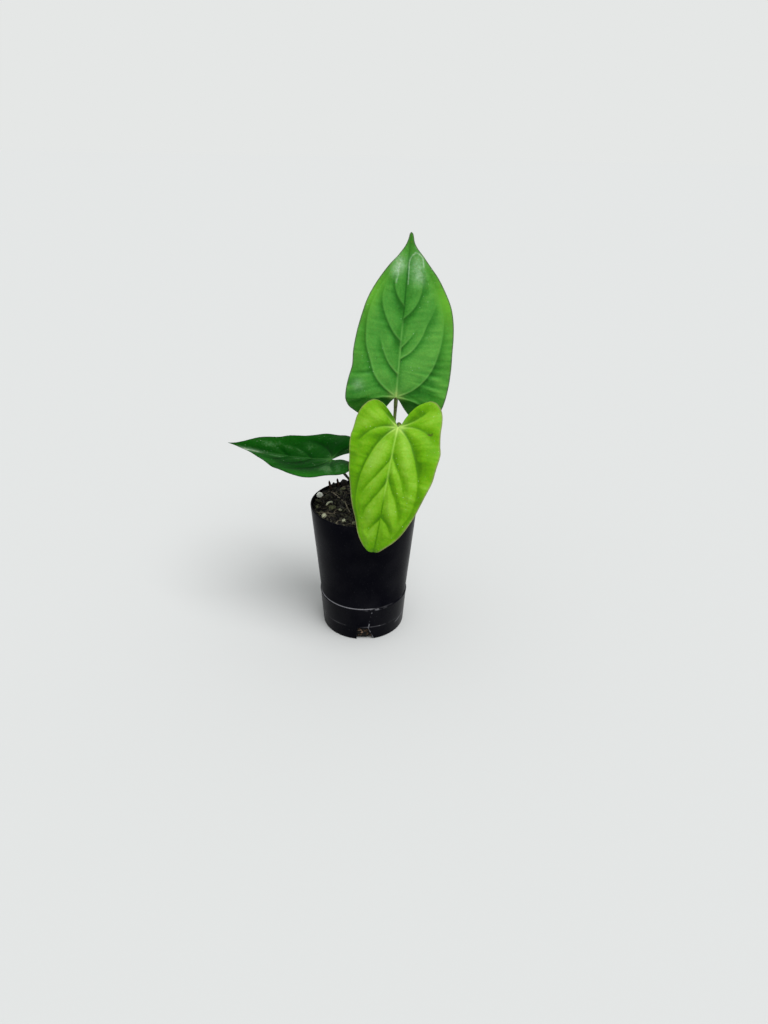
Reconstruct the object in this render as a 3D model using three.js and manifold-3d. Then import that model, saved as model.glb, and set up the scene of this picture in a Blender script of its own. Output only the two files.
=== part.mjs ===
// A potted anthurium with three heart-shaped leaves in a black nursery tube pot.
// Millimetres, +Z up, +Y away from the front, origin at the centre of the pot's underside.
import * as THREE from 'three';
import { mergeVertices } from 'three/addons/utils/BufferGeometryUtils.js';
import Module from 'manifold-3d';

const wasm = await Module();
wasm.setup();

// Pot: thin moulded wall in two tapers, with a small ledge where the lower one ends
const potHeight = 110.8;
const rimRadius = 42.5;
const waistRadius = 35.7;
const ledgeRadius = 36.5;
const ledgeHeight = 31.3;
const footRadius = 34.35;
const wallThickness = 1.2;
const floorThickness = 1.6;
const potSides = 60;
const drainNotches = 4;
const notchFootWidth = 13.9;
const notchTopWidth = 9.4;
const notchHeight = 12;
const notchDepth = 7;
const firstNotchAngle = -88.3;

// Potting mix: fills the pot to just under the rim, with a lumpy top
const fitGap = 0.3;
const mixLevel = 106.6;
const mixSides = 44;
const mixRings = 11;

// Stem, leaf stalks and blades
const stemFoot = 80;
const stemTop = 120;
const stemRadius = 4;
const bladeThickness = 0.7;
const ribHeight = 0.9;
const bladeRows = 34;
const bladeColumns = [0, 0.05, 0.19, 0.35, 0.52, 0.7, 0.87, 1];

const black = { color: 0x15151a, roughness: 0.35, metalness: 0 };
const darkMix = { color: 0x2a2119, roughness: 0.95, metalness: 0 };
const barkTan = { color: 0x8b8264, roughness: 0.9, metalness: 0 };
const perliteWhite = { color: 0xe9e9e4, roughness: 0.8, metalness: 0 };
const rootBrown = { color: 0x7a6a55, roughness: 0.85, metalness: 0 };
const stemGreen = { color: 0x5c6b34, roughness: 0.7, metalness: 0 };
const stalkGreen = { color: 0x6c7a3c, roughness: 0.5, metalness: 0 };
const drySheath = { color: 0x8a6a43, roughness: 0.8, metalness: 0 };
const midGreen = { color: 0x3f8a2f, roughness: 0.4, metalness: 0 };
const limeGreen = { color: 0x86bf2c, roughness: 0.4, metalness: 0 };
const darkGreen = { color: 0x1d4f1e, roughness: 0.35, metalness: 0 };

const plant = new THREE.Group();

function addPiece(name, geometry, finish) {
  const mesh = new THREE.Mesh(geometry, new THREE.MeshStandardMaterial(finish));
  mesh.name = name;
  plant.add(mesh);
  return mesh;
}

// Closed geometry to solid and back, for joins and cuts
function toSolid(geometry) {
  const bare = geometry.clone();
  bare.deleteAttribute('normal');
  bare.deleteAttribute('uv');
  const merged = mergeVertices(bare, 1e-4);
  return new wasm.Manifold(new wasm.Mesh({
    numProp: 3,
    vertProperties: new Float32Array(merged.attributes.position.array),
    triVerts: new Uint32Array(merged.index.array),
  }));
}

function toGeometry(solid) {
  const mesh = solid.getMesh();
  return meshGeometry(mesh.vertProperties, mesh.triVerts);
}

function meshGeometry(positions, triangles) {
  const geometry = new THREE.BufferGeometry();
  geometry.setAttribute('position', new THREE.BufferAttribute(new Float32Array(positions), 3));
  geometry.setIndex(new THREE.BufferAttribute(new Uint32Array(triangles), 1));
  geometry.computeVertexNormals();
  return geometry;
}

// The same random draws on every run
function drawsFrom(seed) {
  let state = seed;
  return () => {
    state = (state * 1664525 + 1013904223) % 4294967296;
    return state / 4294967296;
  };
}

function smooth(x) {
  const t = THREE.MathUtils.clamp(x, 0, 1);
  return t * t * (3 - 2 * t);
}

// Round stalk along a curve, with its own radius at each point and flat ends
function stalk(curve, radiusAt, steps, sides) {
  const frames = curve.computeFrenetFrames(steps, false);
  const positions = [];
  const triangles = [];
  for (let i = 0; i <= steps; i++) {
    const centre = curve.getPointAt(i / steps);
    const radius = radiusAt(i / steps);
    for (let k = 0; k < sides; k++) {
      const angle = (2 * Math.PI * k) / sides;
      const point = centre.clone()
        .addScaledVector(frames.normals[i], radius * Math.cos(angle))
        .addScaledVector(frames.binormals[i], radius * Math.sin(angle));
      positions.push(...point);
    }
  }
  const corner = (i, k) => i * sides + (k % sides);
  for (let i = 0; i < steps; i++) {
    for (let k = 0; k < sides; k++) {
      triangles.push(corner(i, k), corner(i, k + 1), corner(i + 1, k + 1));
      triangles.push(corner(i, k), corner(i + 1, k + 1), corner(i + 1, k));
    }
  }
  const footCentre = positions.length / 3;
  positions.push(...curve.getPointAt(0), ...curve.getPointAt(1));
  for (let k = 0; k < sides; k++) {
    triangles.push(footCentre, corner(0, k + 1), corner(0, k));
    triangles.push(footCentre + 1, corner(steps, k), corner(steps, k + 1));
  }
  return meshGeometry(positions, triangles);
}

function curveThrough(points) {
  return new THREE.CatmullRomCurve3(points.map((p) => new THREE.Vector3(...p)), false, 'centripetal');
}

// Pot
function outerRadius(z) {
  if (z < ledgeHeight) return footRadius + ((ledgeRadius - footRadius) * z) / ledgeHeight;
  return waistRadius + ((rimRadius - waistRadius) * (z - ledgeHeight)) / (potHeight - ledgeHeight);
}

function innerRadius(z) {
  return outerRadius(z) - wallThickness;
}

function potProfile() {
  const ledgeSlope = 0.6;
  const lip = 0.4;
  return [
    [0, 0],
    [footRadius - lip, 0],
    [footRadius, lip],
    [ledgeRadius, ledgeHeight],
    [waistRadius + 0.05, ledgeHeight + ledgeSlope],
    [rimRadius, potHeight - lip],
    [rimRadius - lip, potHeight],
    [rimRadius - wallThickness, potHeight],
    [waistRadius - wallThickness, ledgeHeight + ledgeSlope],
    [ledgeRadius - wallThickness, ledgeHeight - ledgeSlope],
    [footRadius - wallThickness, floorThickness],
    [0, floorThickness],
  ].map(([r, z]) => new THREE.Vector2(r, z));
}

function turned(profile, sides) {
  return new THREE.LatheGeometry(profile, sides).rotateX(Math.PI / 2);
}

// Each drain notch has one upright side, and one that slopes out to the foot
function drainNotch(index) {
  const angle = THREE.MathUtils.degToRad(firstNotchAngle + (index * 360) / drainNotches);
  const overshoot = 1;
  const beyondWall = 1.5;
  const upright = -notchFootWidth / 2;
  const slope = (notchFootWidth - notchTopWidth) / notchHeight;
  const outline = new THREE.Shape([
    new THREE.Vector2(upright, -overshoot),
    new THREE.Vector2(upright + notchFootWidth + slope * overshoot, -overshoot),
    new THREE.Vector2(upright + notchTopWidth, notchHeight),
    new THREE.Vector2(upright, notchHeight),
  ]);
  const block = new THREE.ExtrudeGeometry(outline, { depth: notchDepth, bevelEnabled: false });
  const outward = new THREE.Matrix4().makeBasis(
    new THREE.Vector3(0, 1, 0), new THREE.Vector3(0, 0, 1), new THREE.Vector3(1, 0, 0));
  block.applyMatrix4(outward);
  block.translate(footRadius + overshoot + beyondWall - notchDepth, 0, 0);
  return toSolid(block.rotateZ(angle));
}

function makePot() {
  let body = toSolid(turned(potProfile(), potSides));
  for (let i = 0; i < drainNotches; i++) body = body.subtract(drainNotch(i));
  return toGeometry(body);
}

// Potting mix
function mixHeight(x, y) {
  const heapSpread = 15;
  const heap = 2.3 * Math.exp(-((x + 24) ** 2 + (y - 20) ** 2) / (2 * heapSpread ** 2));
  const coarse = 0.8 * Math.sin(0.46 * x + 0.8) * Math.sin(0.5 * y + 0.3);
  const fine = 0.6 * Math.sin(0.85 * x - 0.5 * y + 1.1) * Math.sin(0.75 * y + 0.35 * x);
  return mixLevel + heap + coarse + fine;
}

function mixBody() {
  const side = [
    [footRadius - wallThickness - fitGap, floorThickness + fitGap],
    [ledgeRadius - wallThickness - fitGap, ledgeHeight - 1],
    [waistRadius - wallThickness - fitGap - 0.05, ledgeHeight + 0.9],
    [innerRadius(70) - fitGap, 70],
  ];
  const edge = innerRadius(mixLevel) - fitGap;
  const rings = side.map(([r, z]) => ({ r, height: () => z }));
  for (let i = 0; i < mixRings; i++) rings.push({ r: edge * (1 - i / mixRings), height: mixHeight });
  const positions = [];
  const triangles = [];
  for (const ring of rings) {
    for (let k = 0; k < mixSides; k++) {
      const angle = (2 * Math.PI * k) / mixSides;
      const x = ring.r * Math.cos(angle);
      const y = ring.r * Math.sin(angle);
      positions.push(x, y, ring.height(x, y));
    }
  }
  const corner = (i, k) => i * mixSides + (k % mixSides);
  for (let i = 0; i + 1 < rings.length; i++) {
    for (let k = 0; k < mixSides; k++) {
      triangles.push(corner(i, k), corner(i, k + 1), corner(i + 1, k + 1));
      triangles.push(corner(i, k), corner(i + 1, k + 1), corner(i + 1, k));
    }
  }
  const floorCentre = positions.length / 3;
  positions.push(0, 0, floorThickness + fitGap, 0, 0, mixHeight(0, 0));
  for (let k = 0; k < mixSides; k++) {
    triangles.push(floorCentre, corner(0, k + 1), corner(0, k));
    triangles.push(floorCentre + 1, corner(rings.length - 1, k), corner(rings.length - 1, k + 1));
  }
  return toSolid(meshGeometry(positions, triangles));
}

// Loose bits on the mix: where each lies, how far up from the bed, its half sizes, its turn and its draw
const bits = [
  { name: 'perlite_1', at: [-35.7, 13.3], up: 2.5, half: [2.8, 2.6, 2.6], turn: [0.2, 0.3, 0.4], seed: 3 },
  { name: 'perlite_2', at: [22, 21], up: 0.9, half: [2.2, 1.9, 1.8], turn: [0.6, 0.1, 1.1], seed: 5 },
  { name: 'perlite_3', at: [17, -22], up: 0.8, half: [1.9, 1.7, 1.6], turn: [0.1, 0.7, 0.2], seed: 8 },
  { name: 'bark_chip_1', at: [-25.4, -4], up: 0.9, half: [3.4, 2.9, 1.6], turn: [0.5, 0.2, 0.3], seed: 11 },
  { name: 'bark_chip_2', at: [-31, -18], up: 0.8, half: [2.6, 2.1, 1.5], turn: [0.3, 0.2, 0.9], seed: 13 },
  { name: 'bark_chip_3', at: [-37, -2.4], up: 0.8, half: [2.6, 1.6, 1.3], turn: [0.1, 0.3, 1.9], seed: 17 },
  { name: 'bark_chip_4', at: [-17.6, 27], up: 0.9, half: [3.2, 2.2, 1.5], turn: [0.7, 0.1, 0.5], seed: 19 },
  { name: 'bark_chip_5', at: [-15.6, -25], up: 0.8, half: [2.1, 1.6, 1.2], turn: [0.2, 0.4, 0.7], seed: 23 },
  { name: 'bark_chip_6', at: [-8, -29.4], up: 0.8, half: [2.4, 1.5, 1.2], turn: [0.3, 0.5, 1.3], seed: 29 },
  { name: 'bark_chip_7', at: [27, 4], up: 0.9, half: [3.6, 2.6, 1.7], turn: [0.2, 0.3, 0.2], seed: 31 },
  { name: 'bark_chip_8', at: [8, 29], up: 0.9, half: [3.3, 2.4, 1.6], turn: [0.4, 0.1, 2.2], seed: 37 },
  { name: 'bark_chip_9', at: [29, -15], up: 0.8, half: [2.8, 2.1, 1.4], turn: [0.2, 0.5, 1.0], seed: 41 },
  { name: 'bark_chip_10', at: [-18.6, -7.4], up: 0.7, half: [2, 1.4, 1.1], turn: [0.4, 0.2, 0.4], seed: 43 },
  {
    name: 'bark_chip_11', at: [-16.3, 33.1], up: 3.1, half: [3.1, 2.1, 3.7], turn: [0.08, 0.05, 0.2],
    seed: 59, blunt: 0.5,
  },
  {
    name: 'bark_chip_12', at: [-9.8, 35.2], up: 2.8, half: [2.5, 2, 3.4], turn: [-0.08, 0.1, 0.2],
    seed: 61, blunt: 0.5,
  },
  {
    name: 'bark_chip_13', at: [-24.7, 29], up: 2.3, half: [1.8, 1.8, 2.7], turn: [0.06, 0, 0.5],
    seed: 67, blunt: 0.5,
  },
];

// Blunt stubs of bark that lean over the rim at the back: foot, tip and half thickness
const splinters = [
  {
    name: 'bark_splinter_1', foot: [-27, 25.2, 108.6], tip: [-28.7, 28.4, 116], half: 0.95,
    seed: 47, blunt: 0.85,
  },
  {
    name: 'bark_splinter_2', foot: [-21, 31.6, 108.4], tip: [-21.9, 33.6, 115.8], half: 0.95,
    seed: 53, blunt: 0.85,
  },
];

// Thin dry roots and a curl of bark on the mix, bedded half in it
const strands = [
  {
    name: 'loose_root_1', radius: 0.6, lift: 1,
    path: [[-27.2, 22.2], [-24, 17], [-20.6, 11.6], [-17.2, 6.4]],
  },
  {
    name: 'loose_root_2', radius: 0.5, lift: 0.7,
    path: [[-15.4, 5.2], [-14, -0.6], [-12.6, -6.4], [-10.8, -13]],
  },
  {
    name: 'bark_curl', radius: 0.8, lift: 1.4,
    path: [[-29.6, -1.6], [-28.6, 1.4], [-26.6, 3], [-24.9, 2.2]],
  },
];

// A rough lump with the given half sizes. A blunt one fills out towards the corners of its box.
function roughLump(seed, half, grow, blunt = 0) {
  const draw = drawsFrom(seed);
  const lump = new THREE.IcosahedronGeometry(1, 1);
  lump.deleteAttribute('normal');
  lump.deleteAttribute('uv');
  const merged = mergeVertices(lump, 1e-4);
  const points = merged.attributes.position;
  for (let i = 0; i < points.count; i++) {
    const p = new THREE.Vector3().fromBufferAttribute(points, i);
    const squared = Math.max(Math.abs(p.x), Math.abs(p.y), Math.abs(p.z)) ** -blunt;
    p.multiplyScalar((0.86 + 0.26 * draw()) * squared);
    points.setXYZ(i, p.x * (half[0] + grow), p.y * (half[1] + grow), p.z * (half[2] + grow));
  }
  return merged;
}

function lieBit(bit, grow) {
  const lump = roughLump(bit.seed, bit.half, grow, bit.blunt);
  lump.applyMatrix4(new THREE.Matrix4().makeRotationFromEuler(new THREE.Euler(...bit.turn)));
  const [x, y] = bit.at;
  return lump.translate(x, y, mixHeight(x, y) + bit.up);
}

function leanSplinter(splinter, grow) {
  const foot = new THREE.Vector3(...splinter.foot);
  const tip = new THREE.Vector3(...splinter.tip);
  const along = tip.clone().sub(foot);
  const half = [splinter.half, splinter.half * 0.8, along.length() / 2];
  const lump = roughLump(splinter.seed, half, grow, splinter.blunt);
  lump.applyQuaternion(new THREE.Quaternion().setFromUnitVectors(
    new THREE.Vector3(0, 0, 1), along.clone().normalize()));
  const middle = foot.add(tip).multiplyScalar(0.5);
  return lump.translate(...middle);
}

function layStrand(strand, grow) {
  const lying = (x, y) => mixLevel + strand.lift + 0.4 * (mixHeight(x, y) - mixLevel);
  const path = strand.path.map(([x, y]) => [x, y, lying(x, y)]);
  return stalk(curveThrough(path), () => strand.radius + grow, 12, 8);
}

function stemHole() {
  const depth = potHeight - stemFoot + 10;
  const hole = new THREE.CylinderGeometry(stemRadius + 0.8, stemRadius + 0.8, depth, 20);
  return toSolid(hole.rotateX(Math.PI / 2).translate(0, 0, stemFoot - fitGap + depth / 2));
}

function makeMix() {
  let body = mixBody().subtract(stemHole());
  for (const bit of bits) body = body.subtract(toSolid(lieBit(bit, fitGap)));
  for (const splinter of splinters) body = body.subtract(toSolid(leanSplinter(splinter, fitGap)));
  for (const strand of strands) body = body.subtract(toSolid(layStrand(strand, fitGap)));
  const pieces = body.decompose().sort((a, b) => b.volume() - a.volume());
  return toGeometry(pieces[0]);
}

// Stem: a short upright stock with the rings of old leaves
function stemRadiusAt(s, grow) {
  const rings = 5;
  const ring = Math.cos(2 * Math.PI * rings * s) ** 6;
  return stemRadius * (1 - 0.25 * s * s) + 0.3 * ring + grow;
}

function makeStem(grow) {
  const foot = stemFoot - grow;
  const top = stemTop + grow;
  const path = curveThrough([[0, 0, foot], [0, 0, 100], [0.2, 0, 112], [0.6, -0.2, top]]);
  return stalk(path, (s) => stemRadiusAt(s, grow), 24, 12);
}

// A blade is a bent sheet. w runs from the stalk along the midrib, u runs across it.
// Angles in degrees; arcs are lengths of midrib with the angle each bends through.
const uprightLeaf = {
  name: 'upright',
  stalkRadius: 1.3,
  finish: midGreen,
  joint: [23.87, 8, 195.45],
  heading: 66, pitch: 80, roll: -16,
  arcs: [[115, 8]], back: [25, 10],
  fold: [5, 5], camber: 0, length: 116.5,
  sideSweep: 0,
  puff: 0.9, wave: 0.7, waves: 5,
  lobeTurn: 0.75,
  halves: {
    minus: {
      phase: 0.4,
      sinus: [[-3, -3], [-6.4, -8], [-9.8, -14.5], [-13.5, -20]],
      margin: [[-18.5, -22.3], [-24.5, -20.6], [-31.2, -15.6], [-35.8, -10.9], [-37.9, -4], [-37.6, 4.8],
        [-36.2, 13.3], [-34.6, 21], [-34.4, 31.6], [-32.6, 46.9], [-29.8, 59.4], [-25.5, 72.8],
        [-19.3, 84.6], [-13, 93.7], [-8.2, 99.6], [-5, 104.2], [-2.6, 108.6], [-1.4, 112.6], [-0.9, 115.4]],
      veins: [
        [[0, 0], [-10, 7], [-17, 15], [-21, 25], [-25, 37], [-26, 48], [-25.5, 58], [-22.5, 69], [-18, 79],
          [-12, 89], [-7, 97]],
        [[0, 0], [-12, -1], [-22, -6], [-29, -13]],
        [[0, 17], [-7, 24], [-12, 33], [-16, 45]],
        [[0, 41], [-6, 47], [-11, 55], [-15, 64], [-16, 74], [-13, 84]],
        [[0, 66], [-5, 72], [-8, 80], [-8, 90]],
      ],
    },
    plus: {
      phase: 2.3,
      sinus: [[2.8, -3], [6, -8.3], [9.6, -14], [13.6, -19.2]],
      margin: [[19, -21.8], [25.5, -19.6], [31.4, -13], [35.4, -4.5], [37.2, 2.8], [38.4, 12.2],
        [38.8, 24.9], [38.4, 35.6], [38, 47], [36.7, 57.4], [33.9, 67.5], [29.2, 76.6],
        [22.8, 86.3], [16.6, 93.5], [10.5, 100.6], [5.6, 105.8], [3.2, 109.6], [2.2, 113.2], [1.3, 115.6]],
      veins: [
        [[0, 0], [10, 5], [18, 12], [24, 21], [28, 33], [30, 48], [29.5, 58], [27, 67], [23, 76], [18, 85],
          [12, 94], [7, 101]],
        [[0, 0], [13, -2], [24, -7], [31, -12]],
        [[0, 28], [8, 34], [14, 43], [18, 54], [22, 64], [23, 74]],
        [[0, 36], [6, 43], [11, 51]],
        [[0, 57], [6, 63], [10, 70], [12, 80], [11, 90]],
      ],
    },
  },
  stalk: [[1.2, 0.8, 113.5], [3.6, 2.2, 119.5], [8.6, 5, 133], [14.6, 7.4, 148], [20, 9.2, 162],
    [22.9, 10, 173], [23.7, 10.3, 184]],
};

const frontLeaf = {
  name: 'front',
  stalkRadius: 1.3,
  finish: limeGreen,
  joint: [23.93, -25, 183.77],
  heading: -112, pitch: -50, roll: -3,
  arcs: [[60, 24], [31, 12], [12, 115]], back: [25, -10],
  fold: [-3, -3], camber: 2, length: 108,
  sideSweep: 10,
  puff: 1.5, wave: 0.7, waves: 6,
  lobeTurn: 0,
  halves: {
    minus: {
      phase: 0.4,
      sinus: [[-1.9, -2.6], [-4, -6.8], [-6.9, -11.6], [-11, -16.8]],
      margin: [[-15.6, -20.4], [-20, -22], [-24, -21.4], [-27.4, -18.2], [-29.6, -13.6], [-31, -7],
        [-31.7, 1], [-32.7, 8.6], [-34.2, 14.6], [-34.2, 20], [-33.2, 27.6], [-31.5, 37.4], [-28.4, 47],
        [-25, 55.8], [-21.4, 64.6], [-17.5, 72.4], [-13, 79.2], [-7.6, 85.2], [-1.4, 90.4], [3.4, 95],
        [7.2, 100]],
      veins: [
        [[0, 0], [-5.4, -2.6], [-11.9, -6.9], [-17, -11.5], [-21.2, -16.7]],
        [[0, 0], [-12, -1], [-20, 1], [-28, 6]],
        [[0, 0], [-9, 8], [-14, 16], [-19, 27], [-22, 40], [-22, 50], [-19.5, 60], [-15.5, 68], [-10.5, 76],
          [-4, 84], [1.5, 89]],
        [[-0.5, 22], [-5, 29.5], [-8.2, 35], [-11.1, 42.2], [-13, 50]],
        [[0.4, 37], [-4, 46.6], [-7.8, 54.1], [-10.1, 62.9], [-11.2, 70]],
        [[2, 67], [-3, 72], [-6, 80]],
      ],
    },
    plus: {
      phase: 2.3,
      sinus: [[2.8, -4], [5.8, -7.8], [9.4, -11.6], [13.2, -15]],
      margin: [[17, -17.6], [21.2, -19.3], [25.2, -19.3], [29.2, -17.2], [32.9, -12.5], [35.6, -5.4],
        [36.2, 2.1], [36.6, 9], [36, 16], [34.8, 24.7], [33, 32.6], [31.3, 41.4], [29.4, 50.7], [26.8, 59.8],
        [23.8, 70.8], [20.8, 80], [17.4, 88.3], [14.6, 94], [12.8, 99], [11.6, 103.6]],
      veins: [
        [[0, 0], [4.2, -3], [9.7, -7.5], [14.6, -11.6], [19.4, -14.4]],
        [[0, 0], [11, 0.5], [19, 3], [26, 9], [31, 15]],
        [[0, 0], [7, 6], [13, 14], [18, 24], [21, 33], [23, 42], [24, 53], [23, 62], [20.5, 72], [18, 81],
          [15, 89]],
        [[-0.5, 23.4], [5.2, 31.4], [11.2, 39.2], [17.2, 47], [20.4, 54]],
        [[0, 40], [6, 49], [11, 56], [15, 62], [17, 71]],
        [[2.4, 68], [7, 73], [12, 79]],
      ],
    },
  },
  stalk: [[1.4, -1.4, 117.5], [4.4, -3.4, 125], [10.4, -6.6, 141], [17.2, -10, 158], [22, -13.2, 172],
    [24, -16.2, 180.2], [24.8, -18.6, 183.8], [25.1, -21.6, 184.2]],
};

const sideLeaf = {
  name: 'side',
  stalkRadius: 1.2,
  finish: darkGreen,
  joint: [-25.32, -5, 149.85],
  heading: 158, pitch: -8, roll: 10,
  arcs: [[95, -16]], back: [25, 10],
  fold: [6, 20], camber: 0, length: 90.5,
  sideSweep: 2.4,
  puff: 0.7, wave: 0.3, waves: 5,
  lobeTurn: 0,
  halves: {
    minus: {
      phase: 0.4,
      sinus: [[-0.4, -3], [0.4, -8], [-0.6, -13], [-3.2, -17.8]],
      margin: [[-9, -20.4], [-14, -21], [-18.4, -19.6], [-22, -15.8], [-24.6, -9.8], [-27, -4.6], [-29.2, 0],
        [-30.4, 6], [-29.8, 15], [-28, 23.6], [-25.6, 31], [-21.8, 41], [-15.4, 50.6], [-9.8, 59],
        [-5.2, 67.6], [-1.4, 75.2], [0.8, 81.2], [1.8, 86.2]],
      veins: [
        [[0, 0], [-9, 5], [-15, 13], [-19, 24], [-20, 36]],
        [[0, 0], [-9, -3], [-17, -8], [-21, -11]],
        [[0.6, 16], [-6, 22], [-11, 31], [-13, 41]],
        [[0, 36], [-6, 43], [-9, 52]],
      ],
    },
    plus: {
      phase: 2.3,
      sinus: [[3.4, -3.2], [6, -6.6], [8.2, -11], [9.8, -15.4]],
      margin: [[13, -18.8], [17.4, -20.6], [21.4, -19], [24.8, -14.4], [28.2, -8], [30.8, -2], [31.6, 4],
        [31.8, 10.6], [30.4, 17.2], [27.8, 24.8], [25, 32], [22.8, 38.5], [20.9, 44.9], [18.8, 50],
        [17, 55.5], [15, 63], [12.9, 69.2], [9.8, 75.2], [6.8, 80.2], [4.2, 85.2]],
      veins: [
        [[0, 0], [9, 5], [15, 12], [19, 22], [19.5, 33]],
        [[0, 0], [10, -3], [18, -9], [22, -12]],
        [[0.6, 18], [6, 24], [10, 32], [12.5, 41]],
        [[0, 38], [5, 44], [8.5, 52]],
      ],
    },
  },
  stalk: [[-1.8, 0.2, 110.6], [-3.6, 0, 116.4], [-8.2, -1, 126.4], [-14.6, -2.4, 135.8],
    [-20.4, -3.6, 142.6]],
};

function startFrame(leaf) {
  const heading = THREE.MathUtils.degToRad(leaf.heading);
  const pitch = THREE.MathUtils.degToRad(leaf.pitch);
  const roll = THREE.MathUtils.degToRad(leaf.roll);
  const along = new THREE.Vector3(
    Math.cos(heading) * Math.cos(pitch), Math.sin(heading) * Math.cos(pitch), Math.sin(pitch));
  const level = new THREE.Vector3(Math.sin(heading), -Math.cos(heading), 0);
  const face = level.clone().cross(along);
  const across = level.clone().multiplyScalar(Math.cos(roll)).addScaledVector(face, Math.sin(roll));
  face.multiplyScalar(Math.cos(roll)).addScaledVector(level, -Math.sin(roll));
  return { point: new THREE.Vector3(...leaf.joint), along, across, face };
}

// Next frame at the end of an arc of midrib that bends away from the face
function bendFrame(frame, length, degrees) {
  const angle = THREE.MathUtils.degToRad(degrees);
  const { along, across, face } = frame;
  const point = frame.point.clone();
  if (Math.abs(angle) < 1e-6) {
    point.addScaledVector(along, length);
  } else {
    const radius = length / angle;
    point.addScaledVector(along, radius * Math.sin(angle));
    point.addScaledVector(face, -radius * (1 - Math.cos(angle)));
  }
  return {
    point,
    across,
    along: along.clone().multiplyScalar(Math.cos(angle)).addScaledVector(face, -Math.sin(angle)),
    face: face.clone().multiplyScalar(Math.cos(angle)).addScaledVector(along, Math.sin(angle)),
  };
}

function midribFrame(leaf, w) {
  let frame = startFrame(leaf);
  if (w < 0) return bendFrame(frame, w, (leaf.back[1] * w) / leaf.back[0]);
  let left = w;
  for (const [length, turn] of leaf.arcs) {
    if (left <= length) return bendFrame(frame, left, (turn * left) / length);
    frame = bendFrame(frame, length, turn);
    left -= length;
  }
  return bendFrame(frame, left, 0);
}

function midribShift(leaf, w) {
  return leaf.sideSweep * (Math.max(w, 0) / leaf.length) ** 3;
}

// The rows of a blade leave the midrib close together near the stalk, as its basal veins do
function midribLength(leaf, row) {
  return leaf.length * row ** 1.45;
}

function distanceToPath(path, u, w) {
  let nearest = Infinity;
  for (let i = 0; i + 1 < path.length; i++) {
    const [ax, ay] = path[i];
    const dx = path[i + 1][0] - ax;
    const dy = path[i + 1][1] - ay;
    const t = THREE.MathUtils.clamp(((u - ax) * dx + (w - ay) * dy) / (dx * dx + dy * dy), 0, 1);
    nearest = Math.min(nearest, Math.hypot(u - ax - t * dx, w - ay - t * dy));
  }
  return nearest;
}

// Height of the sheet over its midrib: the fold, the crown, the quilting and the waved edge
function sheetHeight(leaf, half, u, w, reach, row) {
  const soft = 1.5;
  const across = u - midribShift(leaf, w);
  const foldAngle = leaf.fold[0] + (leaf.fold[1] - leaf.fold[0]) * smooth(w / (0.83 * leaf.length));
  const fold = Math.tan(THREE.MathUtils.degToRad(foldAngle)) * (Math.hypot(across, soft) - soft);
  const crown = (leaf.camber * u * u) / 1000;
  const veinDistance = Math.min(Math.abs(across), ...half.veins.map((vein) => distanceToPath(vein, u, w)));
  const flatter = 1 - smooth((reach - 0.6) / 0.5);
  const quilting = leaf.puff * (1 - Math.exp(-((veinDistance / 4.5) ** 2))) * flatter;
  const settled = smooth((1 - row) / 0.15) * reach ** 3;
  const edge = leaf.wave * settled * Math.sin(2 * Math.PI * leaf.waves * row + half.phase);
  const lobeRib = half.veins[1][1];
  const ribAngle = Math.atan2(lobeRib[1], Math.abs(lobeRib[0]));
  const beyondRib = Math.abs(u) * Math.sin(ribAngle) - w * Math.cos(ribAngle) - 0.6;
  const turnBack = leaf.lobeTurn * Math.max(0, beyondRib) * (w < 0 ? 1 : 0);
  return fold - crown + quilting + edge - turnBack;
}

function sheetPoint(leaf, half, u, w, reach, row) {
  const frame = midribFrame(leaf, w);
  return frame.point
    .addScaledVector(frame.across, u)
    .addScaledVector(frame.face, sheetHeight(leaf, half, u, w, reach, row));
}

// Flat outline of half a blade: (row, reach) to (u, w), from the sinus edge to the tip
function halfOutline(leaf, half) {
  const tip = [midribShift(leaf, leaf.length), leaf.length];
  const flat = (points) => points.map(([u, w]) => [u, w, 0]);
  const sinus = curveThrough(flat([[0, 0], ...half.sinus, half.margin[0]]));
  const margin = curveThrough(flat([...half.margin, tip]));
  return (row, reach) => {
    const w = midribLength(leaf, row);
    const foot = [midribShift(leaf, w), w];
    const edge = margin.getPointAt(row);
    const inner = sinus.getPointAt(reach);
    const [startU, startW] = half.margin[0];
    const fade = (1 - row) ** 5;
    return [
      foot[0] * (1 - reach) + edge.x * reach + (inner.x - startU * reach) * fade,
      foot[1] * (1 - reach) + edge.y * reach + (inner.y - startW * reach) * fade,
    ];
  };
}

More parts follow.
